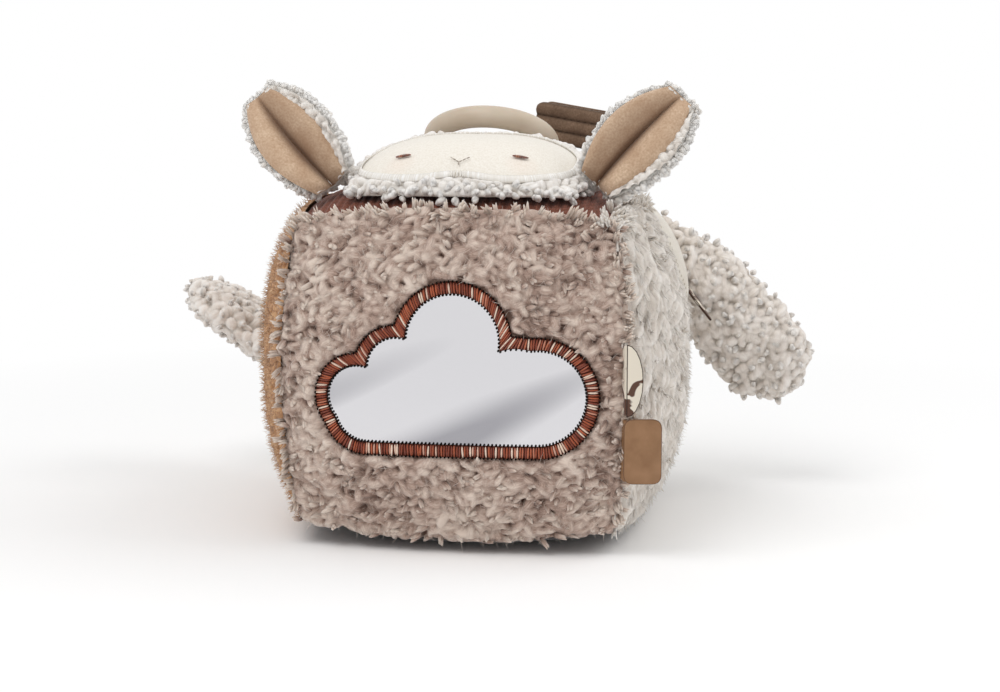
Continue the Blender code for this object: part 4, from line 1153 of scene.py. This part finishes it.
def velour_with_painted_shade(name, deep, light, painted_shade_colour):
    """Velour with painted shade: it is painted darker where the attribute fold is high."""
    material = velour_finish(name, deep, light, sheen=0.5)
    tree = material.node_tree
    shader = tree.nodes["Principled BSDF"]
    painted_shade_mask = add_node(tree, "Attribute", attribute_name="fold")
    plain = shader.inputs["Base Color"].links[0].from_socket
    shaded = add_node(tree, "Mix", {0: (painted_shade_mask, "Fac"), 7: linear(painted_shade_colour)}, data_type="RGBA")
    tree.links.new(plain, shaded.inputs[6])
    tree.links.new(shaded.outputs[2], shader.inputs["Base Color"])
    return material


# Painted shade: the lining is painted dark brown in its crease and on its half next to the head
tan = velour_with_painted_shade("tan velour", "#AC8A6E", "#DBC1A6", "#664630")
for side, word in ((-1, "left"), (1, "right")):
    # The shell: a thick leaf between the back layer and the front one
    bm = bmesh.new()
    for forward in (-0.0022, 0.0006):
        made = bmesh.ops.create_grid(bm, x_segments=26, y_segments=26, size=1)["verts"]
        put(made, ear_at(side, 0.93, forward)(*np.array([vert.co[:2] for vert in made]).T))
    rims = [edge for edge in bm.edges if edge.is_boundary]
    bmesh.ops.bridge_loops(bm, edges=rims)
    bmesh.ops.recalc_face_normals(bm, faces=bm.faces[:])
    shell = add_piece(f"ear_{word}_shell", bm, fleece_cloth)
    dress(shell, f"ear_{word}", f"ear_{word}_crinkle_foil")
    # The teddy: tufts over the back, and a shaggy rim behind the lining
    back = reversed_across(ear_at(side, 0.95, -0.0024))
    spots = spread(back, 0.0022, 71 + side)
    fur = make_wool(
        f"ear_{word}_teddy", back, (70, 90), spots, (0.0044, 0.0036), 0.0030, teddy, 73 + side, loose=2.0
    )
    dress(fur, f"ear_{word}", f"ear_{word}_outer", slot="curly_sherpa")
    rim_u, rim_v = [], []
    for row in (0.93, 0.98):
        rim_u += [np.full(90, -row), np.full(90, row), np.linspace(-row, row, 34), np.linspace(-row, row, 20)]
        rim_v += [np.linspace(-0.98, 0.98, 90)] * 2 + [np.full(34, row), np.full(20, -row)]
    rim_u, rim_v = np.concatenate(rim_u), np.concatenate(rim_v)
    edge_place = ear_at(side, 0.95, -0.0016)(rim_u, rim_v)
    edge_way = unit(edge_place - ear_at(side, 0.7, 0.0030)(rim_u, rim_v))
    edge_along = unit(np.cross(edge_way, np.tile((0.0, 1.0, 0.0), (len(rim_u), 1))))
    fur = make_fur(
        f"ear_{word}_teddy_rim", (edge_place, edge_way, edge_along), knob, 0.0034, 0.0036, 0.8, teddy,
        75 + side, loose=2.0,
    )
    dress(fur, f"ear_{word}", slot="curly_sherpa")
    front = ear_at(side, 0.95, 0.0006)
    spots = spread(front, 0.0022, 77 + side)
    fur = make_wool(
        f"ear_{word}_teddy_front", front, (60, 80), spots, (0.0044, 0.0036), 0.0026, teddy, 79 + side,
        loose=2.0,
    )
    dress(fur, f"ear_{word}", slot="curly_sherpa")
    # The lining: one cut of velour, full at both sides of a deep fold. It leaves a strip of teddy
    # on one side, where the ear's outside curls round.
    bm, u, v = new_grid((60, 60))
    edge = np.maximum(abs(u), abs(v)) ** 14
    lobes = 0.0052 * np.sin(np.clip(abs(u), 0, 1) ** 0.85 * math.pi) ** 0.8 * (1 - edge)
    lobes *= np.sin(np.clip((v + 1) / 2 * 0.86 + 0.14, 0, 1) * math.pi) ** 0.5
    shifted = u * 0.84 - 0.13
    low_layer, high_layer = (ear_at(side, 0.97, forward)(shifted, v) for forward in (0.0014, 0.0024))
    way = unit(high_layer - low_layer)
    put(bm.verts, low_layer + way * (0.0010 * (1 - edge) + lobes)[:, None])
    face_out(bm, (0, -1, 0))
    lining = add_piece(f"ear_{word}_velour", bm, tan)
    # Painted shade: the crease is painted dark, and so is the half next to the head, which turns away from
    # the light
    inner = np.clip(-side * u / 0.3, 0, 1) * (1 - np.clip(-side * u, 0, 1) ** 3)
    depth = np.exp(-((u / 0.17) ** 2)) * np.clip(1.0 - v * 0.4, 0.4, 1)
    store(lining.data, "fold", np.clip(depth * 0.85 + 0.34 * inner, 0, 1))
    dress(lining, f"ear_{word}", f"ear_{word}_lining", slot="tan_velour")


# The arms: stuffed tubes of white curly sherpa, closed at the end and sewn flat into the seam.
ARM_SHARES = np.array((
    (0.00, 0.27, 0.16), (0.10, 0.45, 0.30), (0.22, 0.70, 0.62), (0.36, 0.90, 0.88), (0.52, 0.97, 0.97),
    (0.68, 1.00, 1.00), (0.82, 0.97, 0.94), (0.92, 0.76, 0.72), (0.98, 0.42, 0.38), (1.00, 0.02, 0.02),
))


def arm_at(root, angle, across, side, inset):
    """One arm's surface: v runs from its root to its tip, u round it."""
    along = np.array((side * math.cos(angle), 0, math.sin(angle)))
    across = np.array(across, float)
    depth = np.cross(along, across)

    def surface(u, v):
        length = (v + 1) / 2
        wide = np.interp(length, ARM_SHARES[:, 0], ARM_SHARES[:, 1])
        deep = np.interp(length, ARM_SHARES[:, 0], ARM_SHARES[:, 2])
        # Its flat end is tucked into the block's seam
        tucked = (1 - length) ** 4
        place = np.array(root) + np.outer(length * (0.098 - inset) - 0.007 * tucked, along)
        place[:, 1] -= 0.004 * tucked
        place += np.outer(np.cos(u * math.pi) * wide * (0.0230 - inset), across)
        return place + np.outer(np.sin(u * math.pi) * deep * (0.0110 - inset), depth)

    return surface


sherpa = pile_finish(
    "white curly sherpa", "#CFC6BC", "#E2DAD2", "#F0EAE4", 0.02, sheen=0.3, grain=0.45, soft=0.6
)
for word, side, root, degrees in (
    ("right", 1, (0.07661, 0.07412, 0.120), -49.5), ("left", -1, (-0.07536, 0.07523, 0.0385), 33)
):
    angle = math.radians(degrees)
    across = (math.sin(angle), 0, -math.cos(angle)) if side > 0 else (0, 1, 0)
    ground = arm_at(root, angle, across, side, 0.0024)
    probe, normal, _, _ = lie(ground, np.array((0.1, 0.6)), np.array((0.2, 0.2)))
    middle = (ground(np.array((0.0,)), np.array((0.2,))) + ground(np.array((1.0,)), np.array((0.2,)))) / 2
    outward = ((probe - middle) * normal).sum() > 0
    skin = ground if outward else (lambda u, v, ground=ground: ground(-u, v))
    spots = spread(skin, 0.0027, 81 + side)
    wool = make_wool(
        f"arm_{word}_sherpa", skin, (170, 200), spots, (0.0066, 0.0048), 0.0036, sherpa, 83 + side, loose=2.5,
        swell=0.0013,
    )
    dress(wool, f"arm_{word}", f"arm_{word}_skin", f"arm_{word}_filling", slot="curly_sherpa")
    spots = spread(skin, 0.0046, 87 + side)
    fur = make_fur(
        f"arm_{word}_curls", (spots[0] + spots[1] * 0.0016, *spots[1:]), knob, 0.0036, 0.0034, 1.38, sherpa,
        89 + side, loose=2.5,
    )
    dress(fur, f"arm_{word}", slot="curly_sherpa")


# The teething ring: one moulded silicone hoop, matt and cream, with a slight waist of light on it.
silicone, tree, shader = new_finish(
    "cream silicone",
    Roughness=0.42,
    Specular_IOR_Level=0.45,
    Subsurface_Weight=0.08,
    Subsurface_Scale=0.004,
    IOR=1.41,
)
place = add_node(tree, "TexCoord")
dust = noise(tree, place, 0.014, 4.0)
colour_by(tree, shader, (dust, 0), (0.3, "#C2B29E"), (0.7, "#CDBFAD"))
rough = add_node(tree, "MapRange", {0: (dust, 0), 1: 0.3, 2: 0.7, 3: 0.36, 4: 0.50})
tree.links.new(rough.outputs[0], shader.inputs["Roughness"])
# Spark-eroded mould: a very fine even grain, drawn at 0.5 mm so that it shows
spark = noise(tree, place, 0.0005, 1.0)
bump_by(tree, shader, (spark, 0), 0.12, 0.00006)

RING_RADIUS, RING_TUBE = 0.0265, 0.0050
RING_ROOT = Vector((-0.002, 0.07125, 0.1524))
bm = bmesh.new()
bmesh.ops.create_circle(bm, segments=28, radius=RING_TUBE)
bmesh.ops.rotate(bm, verts=bm.verts[:], matrix=Matrix.Rotation(math.pi / 2, 3, "Y"))
bmesh.ops.translate(bm, verts=bm.verts[:], vec=(0, RING_RADIUS, 0))
bmesh.ops.spin(
    bm, geom=bm.verts[:] + bm.edges[:], axis=(0, 0, 1), cent=(0, 0, 0), angle=math.tau, steps=112,
    use_merge=True,
)
bmesh.ops.translate(bm, verts=bm.verts[:], vec=(0, -RING_RADIUS, 0))
bmesh.ops.rotate(bm, verts=bm.verts[:], matrix=Matrix.Rotation(math.radians(-28), 3, "X"))
bmesh.ops.translate(bm, verts=bm.verts[:], vec=RING_ROOT)
bmesh.ops.recalc_face_normals(bm, faces=bm.faces[:])
hoop = add_piece("teething_ring_hoop", bm, silicone)
dress(hoop, "ring", "teether_ring", slot="ring_silicone")


# The ring's loop: a cream grosgrain ribbon, folded round the hoop and caught in the top back seam
def cloth_copy(node, name, material, cell, smooth_steps):
    """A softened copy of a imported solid: its edges are rolled and its faces are even."""
    bm = bmesh.new()
    bm.from_mesh(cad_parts[node].data)
    bmesh.ops.remove_doubles(bm, verts=bm.verts[:], dist=1e-6)
    thing = add_piece(name, bm, material)
    remesh = thing.modifiers.new("even", "REMESH")
    remesh.mode, remesh.voxel_size, remesh.use_smooth_shade = "VOXEL", cell, True
    relax = thing.modifiers.new("rolled", "SMOOTH")
    relax.factor, relax.iterations = 0.5, smooth_steps
    graph = bpy.context.evaluated_depsgraph_get()
    mesh = bpy.data.meshes.new_from_object(thing.evaluated_get(graph))
    thing.modifiers.clear()
    thing.data = mesh
    thing.data.materials.clear()
    thing.data.materials.append(material)
    mesh.shade_smooth()
    return thing


ribbon, tree, shader = new_finish(
    "cream grosgrain", Roughness=0.75, Sheen_Weight=0.2, Specular_IOR_Level=0.3
)
place = add_node(tree, "TexCoord")
# Weft ribs cross the ribbon every 1.4 mm. A wave of scale 1 has 20 / tau bands to a metre.
WEFT_SCALE = math.tau / 20 / 0.0014
cross = add_node(
    tree, "TexWave", {"Vector": (place, "Object"), "Scale": WEFT_SCALE},
    wave_type="BANDS", bands_direction="Z",
)
colour_by(tree, shader, (cross, 1), (0.0, "#C4BAA9"), (1.0, "#E0D8CB"))
bump_by(tree, shader, (cross, 1), 0.5, 0.0002)
loop = cloth_copy("ring_loop", "ring_loop_ribbon", ribbon, 0.0003, 2)
dress(loop, "block", "ring_loop", slot="ribbon")


# The hanging strap: taupe velour, turned and doubled back, and quilted into three long rolls. Its
# ends are caught in the rear top seam.
# Painted shade: its third colour is painted into the grooves between the rolls
taupe_velour = velour_with_painted_shade("taupe velour", "#5B4739", "#8E7561", "#2C1E15")
STRAP_ROOT = np.array((0.055, 0.0696, 0.1459))
STRAP_TURN, STRAP_SLOPE = math.radians(20), math.tan(math.radians(8))
STRAP_LOW, STRAP_WIDE, STRAP_RIGHT, STRAP_HALF_GAP = 0.0105, 0.019, 0.011, 0.0028
strap = cloth_copy("hanging_strap", "strap_velour", taupe_velour, 0.0005, 4)
flat = np.array([vert.co[:] for vert in strap.data.vertices]) - STRAP_ROOT
along = flat[:, 0] * math.cos(STRAP_TURN) - flat[:, 1] * math.sin(STRAP_TURN)
depth = flat[:, 0] * math.sin(STRAP_TURN) + flat[:, 1] * math.cos(STRAP_TURN)
rise = (flat[:, 2] - STRAP_LOW - STRAP_SLOPE * (STRAP_RIGHT - along)) / STRAP_WIDE
rolls = abs(np.sin(np.clip(rise, 0, 1) * 3 * math.pi)) ** 0.5
on_rolls = (rise > 0) & (rise < 1)
outside = np.clip((abs(depth) - STRAP_HALF_GAP - 0.0012) / 0.0008, 0, 1) * on_rolls
push = 0.0016 * (rolls - 0.6) * outside * np.sign(depth)
for vert, amount in zip(strap.data.vertices, push):
    vert.co.x += amount * math.sin(STRAP_TURN)
    vert.co.y += amount * math.cos(STRAP_TURN)
# Painted shade: the velour is painted dark in the grooves between the rolls
store(strap.data, "fold", np.clip(1 - rolls * 1.3, 0, 1) * outside)
dress(strap, "strap", "hanging_strap", slot="taupe_velour")


# The tabs at the side seams: printed satin ribbon, cream with brown brush blots, its cut edge
# bound dark. The print is a plain brushed pattern.
def printed_finish(name, blot, spread_low):
    material, tree, shader = new_finish(name, Roughness=0.5, Sheen_Weight=0.15, Specular_IOR_Level=0.4)
    place = add_node(tree, "TexCoord")
    blots = noise(tree, place, blot, 2.5, Distortion=0.8)
    colour_by(tree, shader, (blots, 0), (spread_low, "#E6DCCB"), (spread_low + 0.02, "#553424"))
    weave = noise(tree, place, 0.0003, 1.0)
    bump_by(tree, shader, (weave, 0), 0.3, 0.00008)
    return material


def soft_tab(node, name, material, edge_material, edge_radius):
    """A packed tab with its edge rounded, and a bound edge of its own finish round it."""
    bm = bmesh.new()
    bm.from_mesh(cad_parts[node].data)
    bmesh.ops.remove_doubles(bm, verts=bm.verts[:], dist=1e-6)
    bmesh.ops.dissolve_limit(bm, angle_limit=math.radians(4), verts=bm.verts[:], edges=bm.edges[:])
    bmesh.ops.recalc_face_normals(bm, faces=bm.faces[:])
    rims = [e for e in bm.edges if e.calc_face_angle(0) > math.radians(50)]
    bmesh.ops.bevel(
        bm, geom=rims, offset=edge_radius, segments=3, profile=0.5, affect="EDGES", material=1,
        offset_type="OFFSET",
    )
    return add_piece(name, bm, material, edge_material)


binding = plain_finish("dark brown binding", "#2E1C14", Roughness=0.7, Specular_IOR_Level=0.3)
blots = printed_finish("brushed print satin", 0.011, 0.54)
tab = soft_tab("front_side_tab", "front_tab_ribbon", blots, binding, 0.00035)
dress(tab, "front_tab", "front_side_tab", slot="printed_satin")
dark_blots = printed_finish("brushed print satin, rear", 0.006, 0.46)
tab = soft_tab("back_side_tab", "back_tab_ribbon", dark_blots, binding, 0.00035)
# It curls a little, so that its near edge hangs lower and its print shows
spots = np.array([vert.co[:] for vert in tab.data.vertices])
tab_middle = Vector((spots.min(0) + spots.max(0)) / 2)
curled = Matrix.Translation(tab_middle) @ Matrix.Rotation(math.radians(11), 4, Vector((0.703, 0, -0.711)))
tab.data.transform(curled @ Matrix.Translation(-tab_middle))
dress(tab, "back_tab", "back_side_tab", slot="printed_satin")


# The label: tan leatherette with a fine grain and polished cut edges, sewn into the front's right
# seam. It is bare.
hide, tree, shader = new_finish("tan leatherette", Roughness=0.5, Specular_IOR_Level=0.45)
place = add_node(tree, "TexCoord")
grain = add_node(
    tree, "TexVoronoi", {"Vector": (place, "Object"), "Scale": 1 / 0.0007}, feature="DISTANCE_TO_EDGE"
)
tone = noise(tree, place, 0.007, 4.0)
colour_by(tree, shader, (tone, 0), (0.3, "#85603F"), (0.7, "#9A7351"))
bump_by(tree, shader, (grain, 0), 0.35, 0.00015)
hide_edge = plain_finish("leatherette cut edge", "#5F3F28", Roughness=0.4, Specular_IOR_Level=0.45)
label = soft_tab("label_tab", "label_leatherette", hide, hide_edge, 0.0003)
dress(label, "label", "label_tab", slot="leatherette")

# The fixed ends of both, which go back through the fur into the front seam
for name, material, slot, low_z, high_z in (
    ("front_tab_root", blots, "printed_satin", 0.0617, 0.0897),
    ("label_root", hide, "leatherette", 0.0340, 0.0590),
):
    bm = bmesh.new()
    bmesh.ops.create_cube(bm, size=1)
    flat = np.array([vert.co[:] for vert in bm.verts])
    for vert, (x, y, z) in zip(bm.verts, flat):
        out = 0.5 - y
        tall = low_z + (z + 0.5) * (high_z - low_z)
        vert.co = (0.0700 + 0.0026 * out + 0.0014 * x, -0.0710 - 0.0078 * out, tall)
    bmesh.ops.recalc_face_normals(bm, faces=bm.faces[:])
    end = add_piece(name, bm, material, smooth=False)
    dress(end, "block", slot=slot)


# The size of the looks, beside the imported one
size = {"cad": cad_box, "visual": [list(corner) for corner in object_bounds()]}
